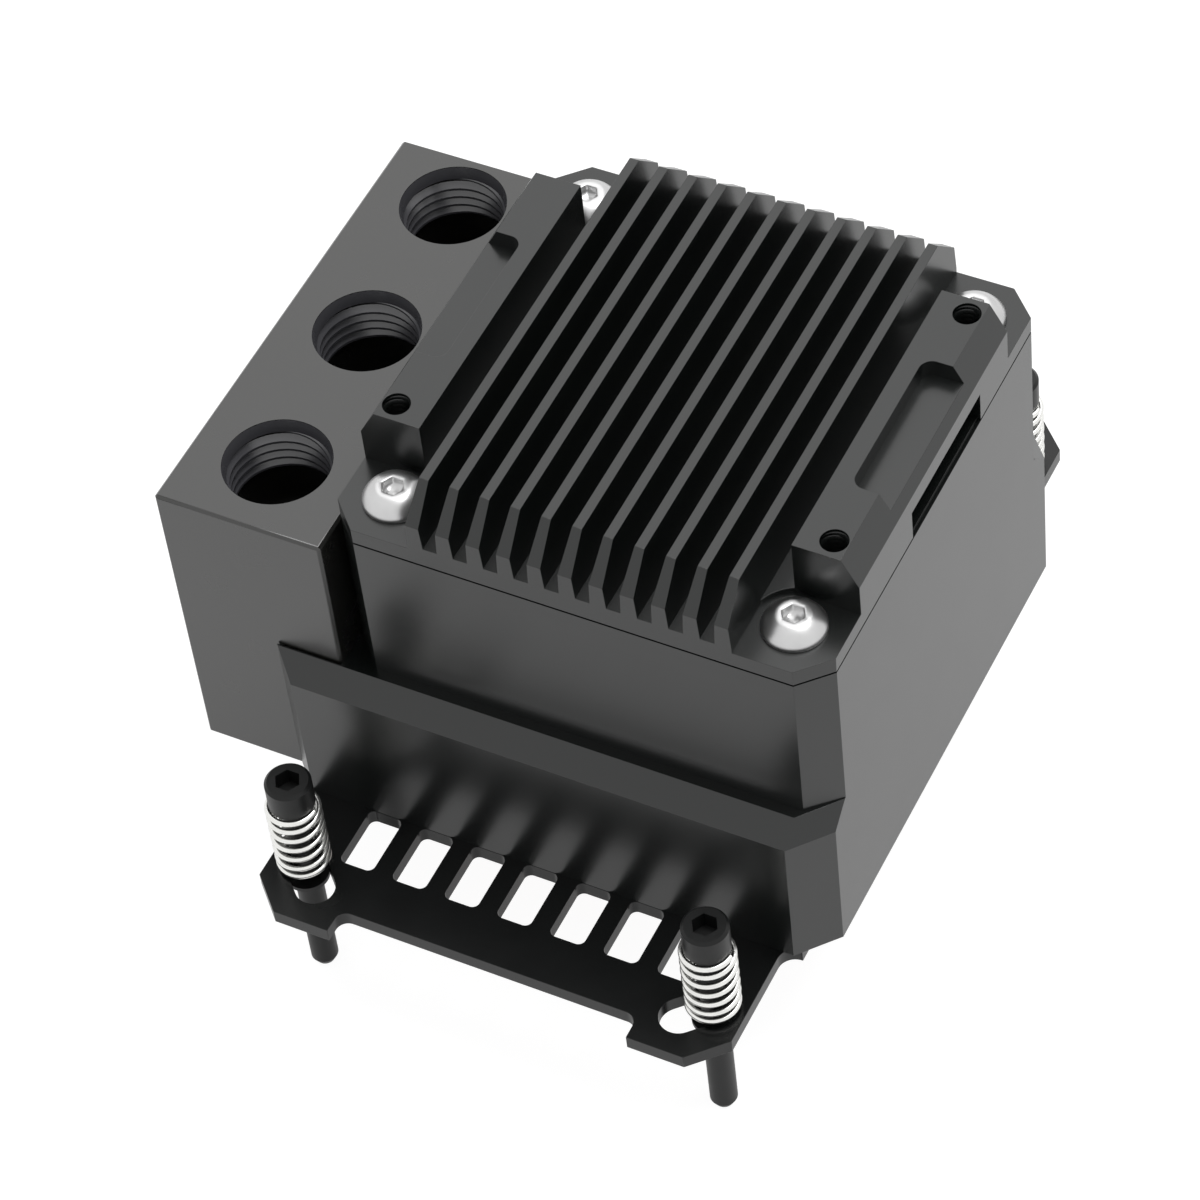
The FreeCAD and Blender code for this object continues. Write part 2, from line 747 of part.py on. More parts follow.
for side in (-1, 1):
    outer = "block_shift + %d * half" % side
    inner = "block_shift + %d * rail_in" % side
    rail = polygon(new_sketch(lid, "XZ_Plane", "-rail_long / 2"), [
        (inner, "lid_corner"),
        (outer, "lid_corner"),
        (outer, "rail_high - rail_cut_high"),
        (outer + " - %d * rail_cut_wide" % side, "rail_high"),
        (inner, "rail_high"),
    ])
    pad(lid, rail, "rail_long")
notches = new_sketch(lid, "XY_Plane", "rail_high")
for side in (-1, 1):
    outer = "block_shift + %d * (half + 1)" % side
    inner = "block_shift + %d * (half - notch_wide)" % side
    polygon(notches, box_points(inner, outer, "-notch_long / 2", "notch_long / 2"))
notch = pocket(lid, notches, "notch_deep")
inner_x = [number("block_shift + %d * (half - notch_wide)" % side) for side in (-1, 1)]
corner_y = number("notch_long / 2")
rounds = edges_where(notch, lambda a, b: upright(a, b)
                     and min(abs(a.x - x) for x in inner_x) < 1e-6 and abs(abs(a.y) - corner_y) < 1e-6)
dress(lid, "Fillet", notch, rounds, "notch_round")

# The rail beside the ports has one tapped hole, the other rail has two
taps = new_sketch(lid, "XY_Plane", "rail_high")
for sx, sy in ((-1, -1), (1, -1), (1, 1)):
    circle(taps, "block_shift + %d * rail_hole_x / 2" % sx, "%d * rail_hole_y / 2" % sy, "rail_hole")
pocket(lid, taps, "rail_hole_deep")
passages = new_sketch(lid, "XY_Plane", "lid_floor")
for sx, sy in corners:
    circle(passages, "block_shift + %d * lid_screw_pitch / 2" % sx, "%d * lid_screw_pitch / 2" % sy,
           "m4_thread + screw_fit")
pocket(lid, passages, "groove_floor")
cable = new_sketch(lid, "XY_Plane", "joint")
polygon(cable, box_points("right - cable_slot_deep", "right + 1", "-cable_slot_front", "cable_slot_back"))
pocket(lid, cable, "cable_slot_high", True)
pieces.append(lid)


def seal(label, x, y, z, middle, upright_ring=True):
    """A seal ring pressed to the height of its groove."""
    body = new_body(label, x, y, z)
    inner = middle + " / 2 - seal_wide / 2 + seal_slack / 2"
    outer = middle + " / 2 + seal_wide / 2 - seal_slack / 2"
    soft = "seal_slack"
    turn(body, [
        (inner, soft),
        (inner + " + " + soft, "0"),
        (outer + " - " + soft, "0"),
        (outer, soft),
        (outer, "seal_high - " + soft),
        (outer + " - " + soft, "seal_high"),
        (inner + " + " + soft, "seal_high"),
        (inner, "seal_high - " + soft),
    ])
    if not upright_ring:
        body.Placement.Rotation = FreeCAD.Rotation(FreeCAD.Vector(0, 1, 0), -90)
    pieces.append(body)


seal("cold_plate_seal", "0", "0", "recess_top", "cold_seal_mid")
seal("can_seal", "block_shift", "0", "volute_top - seal_high", "can_seal_mid")
seal("lid_gasket", "block_shift", "0", "joint - seal_high", "lid_seal_mid")
seal("port_seal_1", "face_left", "port_shift", "inlet_high", "inlet_seal_mid", False)
seal("port_seal_2", "face_left", "-outlet_y", "outlet_high", "outlet_seal_mid", False)

# Copper plate: pedestal, flange and cooling fins in one piece
copper = new_body("cold_plate")
foot = "pedestal_wide / 2"
pad(copper, polygon(new_sketch(copper, "XY_Plane"), box_points("-" + foot, foot, "-" + foot, foot)), "under")
wide = "flange_wide / 2"
flange = polygon(new_sketch(copper, "XY_Plane", "under"), box_points("-" + wide, wide, "-" + wide, wide))
pad(copper, flange, "flange_thick")
start = "-(copper_fins - 1) * copper_fin_pitch / 2"
blade = polygon(new_sketch(copper, "XY_Plane", "recess_top"), box_points(
    start + " - copper_fin_thick / 2", start + " + copper_fin_thick / 2",
    "-copper_fin_long / 2", "copper_fin_long / 2"))
blade = pad(copper, blade, "copper_fin_high")
repeat(copper, blade, "LinearPattern", "H_Axis", "copper_fins", "(copper_fins - 1) * copper_fin_pitch")
pieces.append(copper)

# Jet plate: a disc with a rim up to the chamber roof and one slot over the fins
jet = new_body("jet_plate")
disc = circle(new_sketch(jet, "XY_Plane", "jet_low"), "0", "0", "jet_wide")
pad(jet, disc, "chamber_top - jet_low")
hollow = circle(new_sketch(jet, "XY_Plane", "chamber_top"), "0", "0", "jet_wide - 2 * jet_rim")
pocket(jet, hollow, "chamber_top - jet_low - jet_thick")
slit = polygon(new_sketch(jet, "XY_Plane", "jet_low + jet_thick"), box_points(
    "-jet_slot_long / 2", "jet_slot_long / 2", "-jet_slot_wide / 2", "jet_slot_wide / 2"))
pocket(jet, slit, "jet_thick")
pieces.append(jet)

# Floor of the wheel chamber, with the eye under the wheel and the feed hole
floor = new_body("volute_floor")
plan = new_sketch(floor, "XY_Plane", "volute_low")
circle(plan, "block_shift", "0", "volute_bore - 2 * screw_fit")
circle(plan, "block_shift", "0", "eye_bore")
circle(plan, "feed_x", "feed_y", "feed_bore")
pad(floor, plan, "volute_floor_thick")
pieces.append(floor)

# Cup that keeps the coolant out of the motor, with a raised ring that carries the poles
can = new_body("separator_can", "block_shift", "0", "0")
bore = "can_bore / 2"
shell = "(can_bore / 2 + can_wall)"
turn(can, [
    (bore, "volute_top"),
    ("motor_bore / 2 - can_slack", "volute_top"),
    ("motor_bore / 2 - can_slack", "volute_top + can_flange"),
    ("core_wide / 2", "volute_top + can_flange"),
    ("core_wide / 2", "core_low"),
    ("core_wide / 2 - core_ring", "core_low"),
    ("core_wide / 2 - core_ring", "volute_top + can_flange"),
    (shell, "volute_top + can_flange"),
    (shell, "can_top + can_wall"),
    ("0", "can_top + can_wall"),
    ("0", "can_top"),
    (bore, "can_top"),
])
pieces.append(can)

# Magnet poles round the cup
core = new_body("stator_core", "block_shift", "0", "0")
yoke = new_sketch(core, "XY_Plane", "core_low")
circle(yoke, "0", "0", "core_wide")
circle(yoke, "0", "0", "core_wide - 2 * core_ring")
pad(core, yoke, "core_high")
tooth = polygon(new_sketch(core, "XY_Plane", "core_low"), box_points(
    "core_in", "core_wide / 2 - core_ring / 2", "-pole_wide / 2", "pole_wide / 2"))
tooth = pad(core, tooth, "core_high")
repeat(core, tooth, "PolarPattern", "N_Axis", "pole_count", "")
pieces.append(core)

# Windings, one round each pole
for n in range(int(number("pole_count"))):
    coil = new_body("stator_coil_%d" % (n + 1), "block_shift", "0", "core_low + core_high / 2")
    outer = "core_high / 2 + coil_overhang"
    sketch = new_sketch(coil, "YZ_Plane", "coil_inset")
    polygon(sketch, box_points("-coil_wide / 2", "coil_wide / 2", "-(" + outer + ")", outer))
    inner = "(core_high / 2 + coil_slack)"
    half_pole = "(pole_wide / 2 + coil_slack)"
    polygon(sketch, box_points("-" + half_pole, half_pole, "-" + inner, inner))
    pad(coil, sketch, "coil_long")
    coil.Placement.Rotation = FreeCAD.Rotation(FreeCAD.Vector(0, 0, 1), 360 * n / number("pole_count"))
    pieces.append(coil)

# Pump wheel: plate with straight raked vanes below and a hub that carries the magnet
wheel = new_body("impeller", "block_shift", "0", "0")
bore = "pin_wide / 2 + pin_fit"
turn(wheel, [
    (bore, "vane_low"),
    ("boss_wide / 2", "vane_low"),
    ("boss_wide / 2", "wheel_low"),
    ("wheel_wide / 2", "wheel_low"),
    ("wheel_wide / 2", "wheel_top"),
    ("hub_wide / 2", "wheel_top"),
    ("hub_wide / 2", "magnet_top"),
    (bore, "magnet_top"),
])
vane = polygon(new_sketch(wheel, "XY_Plane", "vane_low"), [
    ("vane_start", "0"),
    ("vane_start + vane_thick", "0"),
    ("vane_end", "vane_lean"),
    ("vane_end - vane_thick", "vane_lean"),
])
vane = pad(wheel, vane, "vane_high")
repeat(wheel, vane, "PolarPattern", "N_Axis", "vane_count", "")
pieces.append(wheel)

magnet = new_body("rotor_magnet", "block_shift", "0", "0")
turn(magnet, [
    ("hub_wide / 2", "magnet_low"),
    ("hub_wide / 2 + magnet_wall", "magnet_low"),
    ("hub_wide / 2 + magnet_wall", "magnet_top"),
    ("hub_wide / 2", "magnet_top"),
])
pieces.append(magnet)

pin = new_body("bearing_pin", "block_shift", "0", "0")
rod = circle(new_sketch(pin, "XY_Plane", "vane_low"), "0", "0", "pin_wide")
pad(pin, rod, "can_top - vane_low")
pieces.append(pin)

# Driver board and the soft pad that carries its heat to the lid
board = new_body("circuit_board", "block_shift", "0", "0")
disc = circle(new_sketch(board, "XY_Plane", "board_low"), "0", "0", "board_wide")
pad(board, disc, "board_thick")
pieces.append(board)
soft = new_body("thermal_pad", "block_shift", "0", "0")
disc = circle(new_sketch(soft, "XY_Plane", "board_top"), "0", "0", "pad_wide")
pad(soft, disc, "joint - board_top")
pieces.append(soft)

# Bracket: waist under the housing, four ears, rows of slots front and back
bracket = new_body("mounting_bracket")
edge = "bracket_wide / 2"
end = "bracket_long / 2"
ear = "(bracket_wide / 2 - ear_wide)"
quarter = [
    ("waist", "hips"),
    (edge, "hips"),
    (edge, "(" + end + " - ear_cut)"),
    ("(" + edge + " - ear_cut)", end),
    (ear, end),
    (ear, "(" + end + " - ear_step)"),
]
outline = list(quarter)
outline += [("-(" + x + ")", y) for x, y in reversed(quarter)]
outline += [("-(" + x + ")", "-(" + y + ")") for x, y in quarter]
outline += [(x, "-(" + y + ")") for x, y in reversed(quarter)]
plate = pad(bracket, polygon(new_sketch(bracket, "XY_Plane", "bracket_low"), outline), "bracket_thick")


def at(x, y):
    """A test for upright edges at a mirrored plan position."""
    px = number(x)
    py = number(y)
    return lambda a, b: upright(a, b) and abs(abs(a.x) - px) < 1e-6 and abs(abs(a.y) - py) < 1e-6


plate = dress(bracket, "Fillet", plate, edges_where(plate, at(ear, end + " - ear_step")), "ear_round")
plate = dress(bracket, "Fillet", plate, edges_where(plate, at(edge, "hips")), "waist_round")
window = "(pedestal_wide / 2 + window_gap)"
opening = new_sketch(bracket, "XY_Plane", "under")
polygon(opening, box_points("-" + window, window, "-" + window, window))
pocket(bracket, opening, "bracket_thick")

rows = new_sketch(bracket, "XY_Plane", "under")
for sy in (-1, 1):
    for n in range(int(number("slot_count"))):
        middle = "(%d - (slot_count - 1) / 2) * slot_pitch" % n
        polygon(rows, box_points(middle + " - slot_wide / 2", middle + " + slot_wide / 2",
                                 "%d * slot_near" % sy, "%d * slot_far" % sy))
rows = pocket(bracket, rows, "bracket_thick")
near = number("slot_near")
far = number("slot_far")
plate = dress(bracket, "Fillet", rows, edges_where(rows, lambda a, b: upright(a, b) and min(
    abs(abs(a.y) - near), abs(abs(a.y) - far)) < 1e-6), "slot_round")


def long_hole(sketch, x0, y0, x1, y1, wide):
    """An outline with two round ends, held by its two centres and one radius."""
    index = sketch.GeometryCount
    start = FreeCAD.Vector(number(x0), number(y0), 0)
    finish = FreeCAD.Vector(number(x1), number(y1), 0)
    radius = number(wide) / 2
    axis = (finish - start).normalize()
    normal = FreeCAD.Vector(-axis.y, axis.x, 0) * radius
    first = Part.Arc(start + normal, start - axis * radius, start - normal)
    second = Part.Arc(finish - normal, finish + axis * radius, finish + normal)
    sketch.addGeometry(first, False)
    sketch.addGeometry(second, False)
    sketch.addGeometry(Part.LineSegment(start - normal, finish - normal), False)
    sketch.addGeometry(Part.LineSegment(finish + normal, start + normal), False)
    for ends in ((index, 2, index + 2, 1), (index + 2, 2, index + 1, 1),
                 (index + 1, 2, index + 3, 1), (index + 3, 2, index, 1)):
        sketch.addConstraint(Sketcher.Constraint("Tangent", *ends))
    hold(sketch, "DistanceX", (index, 3), x0)
    hold(sketch, "DistanceY", (index, 3), y0)
    hold(sketch, "DistanceX", (index + 1, 3), x1)
    hold(sketch, "DistanceY", (index + 1, 3), y1)
    hold(sketch, "Radius", (index,), wide + " / 2")


ears = new_sketch(bracket, "XY_Plane", "under")
for sx, sy in corners:
    long_hole(ears, "%d * mount_x / 2" % sx, "%d * mount_y / 2" % sy,
              "%d * (mount_x / 2 - ear_slot_reach)" % sx, "%d * (mount_y / 2 + ear_slot_reach)" % sy,
              "ear_slot_wide")
pocket(bracket, ears, "bracket_thick")
for sx, sy in corners:
    cone = bracket.newObject("PartDesign::SubtractiveCone", "mounting_bracket_sink")
    plane = next(item for item in bracket.Origin.OriginFeatures if item.Role == "XY_Plane")
    cone.AttachmentSupport = [(plane, "")]
    cone.MapMode = "FlatFace"
    cone.setExpression("AttachmentOffset.Base.x", bind("%d * bracket_screw_x / 2" % sx))
    cone.setExpression("AttachmentOffset.Base.y", bind("%d * bracket_screw_y / 2" % sy))
    cone.setExpression("AttachmentOffset.Base.z", bind("bracket_low"))
    cone.setExpression("Radius1", bind("sink_wide / 2 + screw_fit"))
    cone.setExpression("Radius2", bind("m3_thread / 2 + screw_fit"))
    cone.setExpression("Height", bind("sink_high"))
    doc.recompute()
holes = new_sketch(bracket, "XY_Plane", "under")
for sx, sy in corners:
    circle(holes, "%d * bracket_screw_x / 2" % sx, "%d * bracket_screw_y / 2" % sy,
           "m3_thread + 2 * screw_fit")
pocket(bracket, holes, "bracket_thick")
pieces.append(bracket)

# Sprung mounting screws, their springs and retaining rings, one of each in every ear
for n, (sx, sy) in enumerate(corners, 1):
    x = "%d * mount_x / 2" % sx
    y = "%d * mount_y / 2" % sy
    neck = "head_low - bracket_low + clip_thick + shank_over"
    reach = "head_low + mount_tip"
    pieces.append(socket_screw("mount_screw_%d" % n, x, y, "head_low", "mount_head_wide", "mount_head_high",
                               "mount_thread", reach, "mount_key", "mount_key_deep", "mount_shank", neck))
    spring = new_body("mount_spring_%d" % n, x, y, "under")
    tube = new_sketch(spring, "XY_Plane")
    circle(tube, "0", "0", "spring_wide")
    circle(tube, "0", "0", "spring_wide - 2 * spring_wire")
    pad(spring, tube, "spring_high")
    pieces.append(spring)
    clip = new_body("mount_clip_%d" % n, x, y, "bracket_low - clip_thick")
    ring = new_sketch(clip, "XY_Plane")
    circle(ring, "0", "0", "clip_wide")
    circle(ring, "0", "0", "mount_shank + clip_fit")
    pad(clip, ring, "clip_thick")
    pieces.append(clip)

# Every object and every piece is checked before anything is written
doc.recompute()
for item in doc.Objects:
    if "Invalid" in item.State or "Error" in item.State:
        raise ValueError(item.Name + " failed: " + str(item.State))
unsound = [piece.Label for piece in pieces if piece.Shape.isNull() or not piece.Shape.isValid()]
if unsound:
    raise ValueError("no valid shape: " + ", ".join(unsound))
for piece in pieces:
    piece.Shape.exportStep("parts/" + piece.Label + ".step")
    print(piece.Label, len(piece.Shape.Solids), "solid,", round(piece.Shape.Volume, 1), "mm3")
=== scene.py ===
# %% [markdown]
# # A pumped cold plate, dressed for its portrait
# The solids of this model come from a CAD frame: a finned lid on a black pump housing, a port
# block with three threaded mouths, a slotted bracket and four sprung screws. This lesson gives
# them their finishes, and adds what plain solids leave out: broken edges, cut threads and coiled
# wire. Everything is in metres, in the frame's own axes, so a size in millimetres is times MM.

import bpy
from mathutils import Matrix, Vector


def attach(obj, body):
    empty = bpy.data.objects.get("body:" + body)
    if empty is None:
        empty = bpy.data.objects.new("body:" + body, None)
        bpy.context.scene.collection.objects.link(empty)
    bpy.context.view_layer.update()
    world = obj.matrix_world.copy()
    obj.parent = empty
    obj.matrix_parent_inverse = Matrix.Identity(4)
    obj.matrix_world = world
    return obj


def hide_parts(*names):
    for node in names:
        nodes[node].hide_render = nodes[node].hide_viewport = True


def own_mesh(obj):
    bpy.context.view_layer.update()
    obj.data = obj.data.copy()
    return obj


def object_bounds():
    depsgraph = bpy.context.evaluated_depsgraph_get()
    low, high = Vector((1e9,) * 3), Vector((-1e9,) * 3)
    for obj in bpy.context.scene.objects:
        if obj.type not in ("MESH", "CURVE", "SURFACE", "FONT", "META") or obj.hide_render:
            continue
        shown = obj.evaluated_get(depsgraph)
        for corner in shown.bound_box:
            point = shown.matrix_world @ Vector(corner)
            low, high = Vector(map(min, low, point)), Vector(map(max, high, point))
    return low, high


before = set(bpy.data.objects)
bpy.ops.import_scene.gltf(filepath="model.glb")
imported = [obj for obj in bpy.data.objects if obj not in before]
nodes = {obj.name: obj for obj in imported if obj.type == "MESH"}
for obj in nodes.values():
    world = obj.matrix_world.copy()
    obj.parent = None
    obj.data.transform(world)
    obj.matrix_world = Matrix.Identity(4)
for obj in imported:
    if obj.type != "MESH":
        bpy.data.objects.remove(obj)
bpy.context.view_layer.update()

import math

import bmesh
import bpy
from mathutils import Matrix, Vector

MM = 0.001

# %% [markdown]
# ## Camera
# The photograph was taken from the front right, about fifty degrees above the table, with a long
# lens. Matching the corners of the square housing gave the camera's place and its three axes, so
# they are written as they were solved. The small shift is the cropping of the picture.

# %% Camera at the photograph's viewing angle
CAMERA_PLACE = Vector((0.186807, -0.315597, 0.448473))
CAMERA_RIGHT = Vector((0.895842, 0.436869, -0.081312))
CAMERA_DOWN = Vector((0.289298, -0.712263, -0.639521))
CAMERA_AHEAD = Vector((-0.337302, 0.549387, -0.764461))
SENSOR_MM = 36.0
LENS_MM = 141.1
SHIFT = (-0.0136, 0.00755)

camera = bpy.data.objects.new("camera", bpy.data.cameras.new("camera"))
bpy.context.scene.collection.objects.link(camera)
turn = Matrix((CAMERA_RIGHT, -CAMERA_DOWN, -CAMERA_AHEAD)).transposed()
camera.matrix_world = Matrix.Translation(CAMERA_PLACE) @ turn.to_4x4()
camera.data.sensor_width = SENSOR_MM
camera.data.lens = LENS_MM
camera.data.shift_x, camera.data.shift_y = SHIFT
camera.data.clip_start = 0.01
camera.data.clip_end = 20.0
bpy.context.scene.camera = camera
print("camera", [round(v, 4) for v in CAMERA_PLACE])

# %% [markdown]
# ## One helper for nodes, one for colours
# Materials and Geometry Nodes are both trees of nodes. This helper adds a node, sets it and links
# it in one call, so each step reads as one line. Colours are written as the hex values that a
# colour picker shows, and turned to the linear values that the shader works with.

# %% Helpers


def add(tree, kind, inputs=None, **settings):
    """Add a node; a socket among the inputs is linked and anything else is a value."""
    node = tree.nodes.new(kind)
    for name, value in settings.items():
        setattr(node, name, value)
    for key, value in (inputs or {}).items():
        if isinstance(value, bpy.types.NodeSocket):
            tree.links.new(value, node.inputs[key])
        else:
            node.inputs[key].default_value = value
    return node


def linear(code):
    """The linear colour of an sRGB hex code."""
    channels = [int(code[i:i + 2], 16) / 255 for i in (1, 3, 5)]
    return [c / 12.92 if c <= 0.04045 else ((c + 0.055) / 1.055) ** 2.4 for c in channels] + [1.0]


print("#808080 is", round(linear("#808080")[0], 3), "in linear light")

# %% [markdown]
# ## Studio
# The real picture is a cut-out on white. Black anodised metal is seen almost only by what it
# mirrors, so the white room matters more than the lamps. The camera and every mirror ray see a
# white room, and the rest sees an even grey that lights the object at a plain level.

# %% World: a white room
AMBIENT = 0.45

world = bpy.data.worlds.new("white_room")
world.use_nodes = True
tree = world.node_tree
tree.nodes.clear()
path = add(tree, "ShaderNodeLightPath").outputs
white = add(tree, "ShaderNodeMath", {0: path["Is Glossy Ray"], 1: path["Is Transmission Ray"]},
            operation="MAXIMUM")
white = add(tree, "ShaderNodeMath", {0: white.outputs[0], 1: path["Is Camera Ray"]},
            operation="MAXIMUM")
level = add(tree, "ShaderNodeMix", {0: white.outputs[0], 2: AMBIENT, 3: 1.0})
light = add(tree, "ShaderNodeBackground", {
    "Color": linear("#ffffff"), "Strength": level.outputs[0]})
add(tree, "ShaderNodeOutputWorld", {"Surface": light.outputs[0]})
bpy.context.scene.world = world
print("room:", AMBIENT, "for matt surfaces, 1.0 for the camera and for mirrors")

# %% [markdown]
# The floor is matt paper. One plain material can't be white behind the object and also keep a
# shadow, so it answers each kind of ray in its own way: the camera sees it lit up to white with a
# faint shadow, mirrors see it white with more of its shadow, and its bounce light is that of a
# plain grey card.

# %% Floor
FLOOR_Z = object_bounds()[0][2]
FLOOR_WIDE = 6.0
MIRROR_GLOW = 0.50
SEEN_GLOW = 0.93

floor_finish = bpy.data.materials.new("floor_pale_paper")
floor_finish.use_nodes = True
tree = floor_finish.node_tree
tree.nodes.clear()
path = add(tree, "ShaderNodeLightPath").outputs
card = add(tree, "ShaderNodeBsdfDiffuse", {"Color": linear("#b4b4b4")})
mirror_card = add(tree, "ShaderNodeBsdfDiffuse", {"Color": linear("#cfcfcf")})
mirror_glow = add(tree, "ShaderNodeEmission", {
    "Color": linear("#ffffff"), "Strength": MIRROR_GLOW})
mirror_white = add(tree, "ShaderNodeAddShader", {
    0: mirror_card.outputs[0], 1: mirror_glow.outputs[0]})
seen_card = add(tree, "ShaderNodeBsdfDiffuse", {"Color": linear("#8c8c8c")})
seen_glow = add(tree, "ShaderNodeEmission", {"Color": linear("#ffffff"), "Strength": SEEN_GLOW})
seen_white = add(tree, "ShaderNodeAddShader", {0: seen_card.outputs[0], 1: seen_glow.outputs[0]})
paper = add(tree, "ShaderNodeMixShader", {
    0: path["Is Glossy Ray"], 1: card.outputs[0], 2: mirror_white.outputs[0]})
paper = add(tree, "ShaderNodeMixShader", {
    0: path["Is Camera Ray"], 1: paper.outputs[0], 2: seen_white.outputs[0]})
add(tree, "ShaderNodeOutputMaterial", {"Surface": paper.outputs[0]})

bpy.ops.mesh.primitive_plane_add(size=FLOOR_WIDE, location=(0, 0, FLOOR_Z))
floor = bpy.context.object
floor.name = "floor"
floor.data.materials.append(floor_finish)
print("floor at", round(FLOOR_Z, 4))

# %% [markdown]
# Two soft lamps: the key overhead and behind, so that the shadow falls towards the viewer and
# the tops are lit more than the fronts, and a weak panel where the tops mirror it. Discs a metre
# wide stand in for the soft boxes of a product studio, whose shadows have no hard rim.

# %% Lamps
# name: place in metres, width in metres, watts
LAMPS = {
    "overhead": ((0.35, 0.35, 1.55), 1.0, 12.0),
    "top_panel": ((-0.45, 0.80, 1.15), 1.3, 2.6),
}
for name, (place, wide, watts) in LAMPS.items():
    lamp = bpy.data.lights.new(name, "AREA")
    lamp.shape = "DISK"
    lamp.size = wide
    lamp.energy = watts
    holder = bpy.data.objects.new(name, lamp)
    holder.location = place
    holder.rotation_euler = (-Vector(place)).to_track_quat("-Z", "Y").to_euler()
    bpy.context.scene.collection.objects.link(holder)
bpy.context.scene.view_settings.view_transform = "Standard"
print("lamps", list(LAMPS))

# %% [markdown]
# ## Finishes
# Every finish here is a base with three things on it that the eye reads as that material: a slow
# mottling of the shine, a fine grain in the surface, and sometimes a pattern such as turning
# marks. One function builds the common part from real sizes in millimetres. Grain that is too
# fine to show at this distance is drawn coarser than it is, and the comment says so.

# %% The common part of a finish
# darkest and lightest tone of the mottling, as shares of the finish's colour
MOTTLED_TONES = (0.9, 1.1)


def finish(name, colour, roughness, metallic=0.0, ior=1.5, mottle=0.04, mottle_mm=6.0,
           grain_mm=0.3, grain_deep_mm=0.004, pattern=None):
    """A procedural material; pattern(tree, millimetres) may return a second height."""
    material = bpy.data.materials.new(name)
    material.use_nodes = True
    tree = material.node_tree
    tree.nodes.clear()
    where = add(tree, "ShaderNodeTexCoord")
    millimetres = add(tree, "ShaderNodeMapping", {
        "Vector": where.outputs["Object"], "Scale": (1 / MM,) * 3})
    spots = add(tree, "ShaderNodeTexNoise", {
        "Vector": millimetres.outputs[0], "Scale": 1 / mottle_mm, "Detail": 3.0})
    shine = add(tree, "ShaderNodeMapRange", {
        "Value": spots.outputs["Fac"], "To Min": roughness - mottle, "To Max": roughness + mottle})
    colours = [linear(colour), linear(colour)]
    for shade, factor in zip(colours, MOTTLED_TONES):
        shade[:3] = [min(channel * factor, 1.0) for channel in shade[:3]]
    tones = add(tree, "ShaderNodeMix", {
        0: spots.outputs["Fac"], 6: colours[0], 7: colours[1]}, data_type="RGBA")
    grain = add(tree, "ShaderNodeTexNoise", {
        "Vector": millimetres.outputs[0], "Scale": 1 / grain_mm, "Detail": 2.0})
    dents = add(tree, "ShaderNodeBump", {
        "Height": grain.outputs["Fac"], "Strength": 1.0, "Distance": grain_deep_mm * MM})
    if pattern:
        height, deep_mm = pattern(tree, millimetres.outputs[0])
        dents = add(tree, "ShaderNodeBump", {
            "Height": height, "Strength": 1.0, "Distance": deep_mm * MM,
            "Normal": dents.outputs[0]})
    shader = add(tree, "ShaderNodeBsdfPrincipled", {
        "Base Color": tones.outputs[2], "Metallic": metallic, "Roughness": shine.outputs[0],
        "Normal": dents.outputs[0]})
    if not metallic:
        shader.inputs["IOR"].default_value = ior
    add(tree, "ShaderNodeOutputMaterial", {"Surface": shader.outputs[0]})
    return material


print("mottling from", MOTTLED_TONES[0], "to", MOTTLED_TONES[1], "of each colour")

# %% [markdown]
# ### Patterns
# Turned parts carry fine rings along their axis, rolled and sawn stacks carry layers, and wound
# coils carry wires. All are waves along one direction, at a spacing taken from the real thing.

# %% Patterns along one axis
# at scale 1 the wave texture repeats after this length
WAVE_LENGTH = 0.31416


def bands(spacing_mm, deep_mm, axis="Z"):
    """A pattern of even bands across the given axis."""
    def build(tree, millimetres):
        wave = add(tree, "ShaderNodeTexWave", {
            "Vector": millimetres, "Scale": WAVE_LENGTH / spacing_mm, "Distortion": 0.0},
            bands_direction=axis)
        return wave.outputs["Fac"], deep_mm
    return build


print("bands 0.5 mm apart need a wave scale of", round(WAVE_LENGTH / 0.5, 3))

# %% [markdown]
# ### Black finishes
# Five kinds of black meet on this object, and what tells them apart is hardly their colour. It is
# how much they mirror at a steep angle, which the index of refraction sets, and how sharply,
# which the roughness sets. So each is a near black with its own pair of numbers. Only the tapped
# walls of the ports are a lighter grey, and that grey is painted light.

# %% The black finishes
# Black anodised aluminium: a dyed oxide film over bead-blasted metal. The sealed film bends
# light like glass, 1.6, so it mirrors the room at low angles and blurs it. The grain is drawn at
# 0.3 mm, about three times its real size, which still reads as an even satin.
anodised = finish("anodised_aluminium_black", "#101312", 0.26, ior=1.6, mottle=0.015,
                  grain_deep_mm=0.0004)
# The port block is milled from bar and sealed in another bath: as black, but its denser film
# mirrors half as much again, which makes it look greyer where the room is white.
anodised_grey = finish("anodised_aluminium_dense_black", "#1c1c1a", 0.27, ior=1.75, mottle=0.015,
                       grain_deep_mm=0.0005)
# The walls of the ports are tapped and smoother. Their dark grey, far lighter than the block's
# black, is painted light: it lifts the bands of the thread in the shaded bore.
bored = finish("anodised_aluminium_bored_painted_light", "#505054", 0.22, ior=1.78, mottle=0.02,
               grain_deep_mm=0.0004)
# Black coated sheet steel of the bracket: thin paint, smooth, with a soft orange peel. It
# mirrors least of all the large faces, so the bracket stays the darkest of them.
coated = finish("coated_sheet_steel_black", "#080a0a", 0.26, ior=1.43, grain_mm=0.8,
                grain_deep_mm=0.002)
# Black oxide on screw steel: a thin porous skin that holds oil, duller than the milled parts.
oxide = finish("black_oxide_steel", "#101111", 0.38, ior=1.37, mottle_mm=1.5, grain_mm=0.2,
               grain_deep_mm=0.002)
print("blacks made:", [m.name for m in (anodised, anodised_grey, bored, coated, oxide)])

# %% [markdown]
# ### Bare and plated metals
# A bare metal has no black film to look through: all of its look is the tinted mirror, so only
# its colour and its roughness are set, and the marks of the tool that made it.

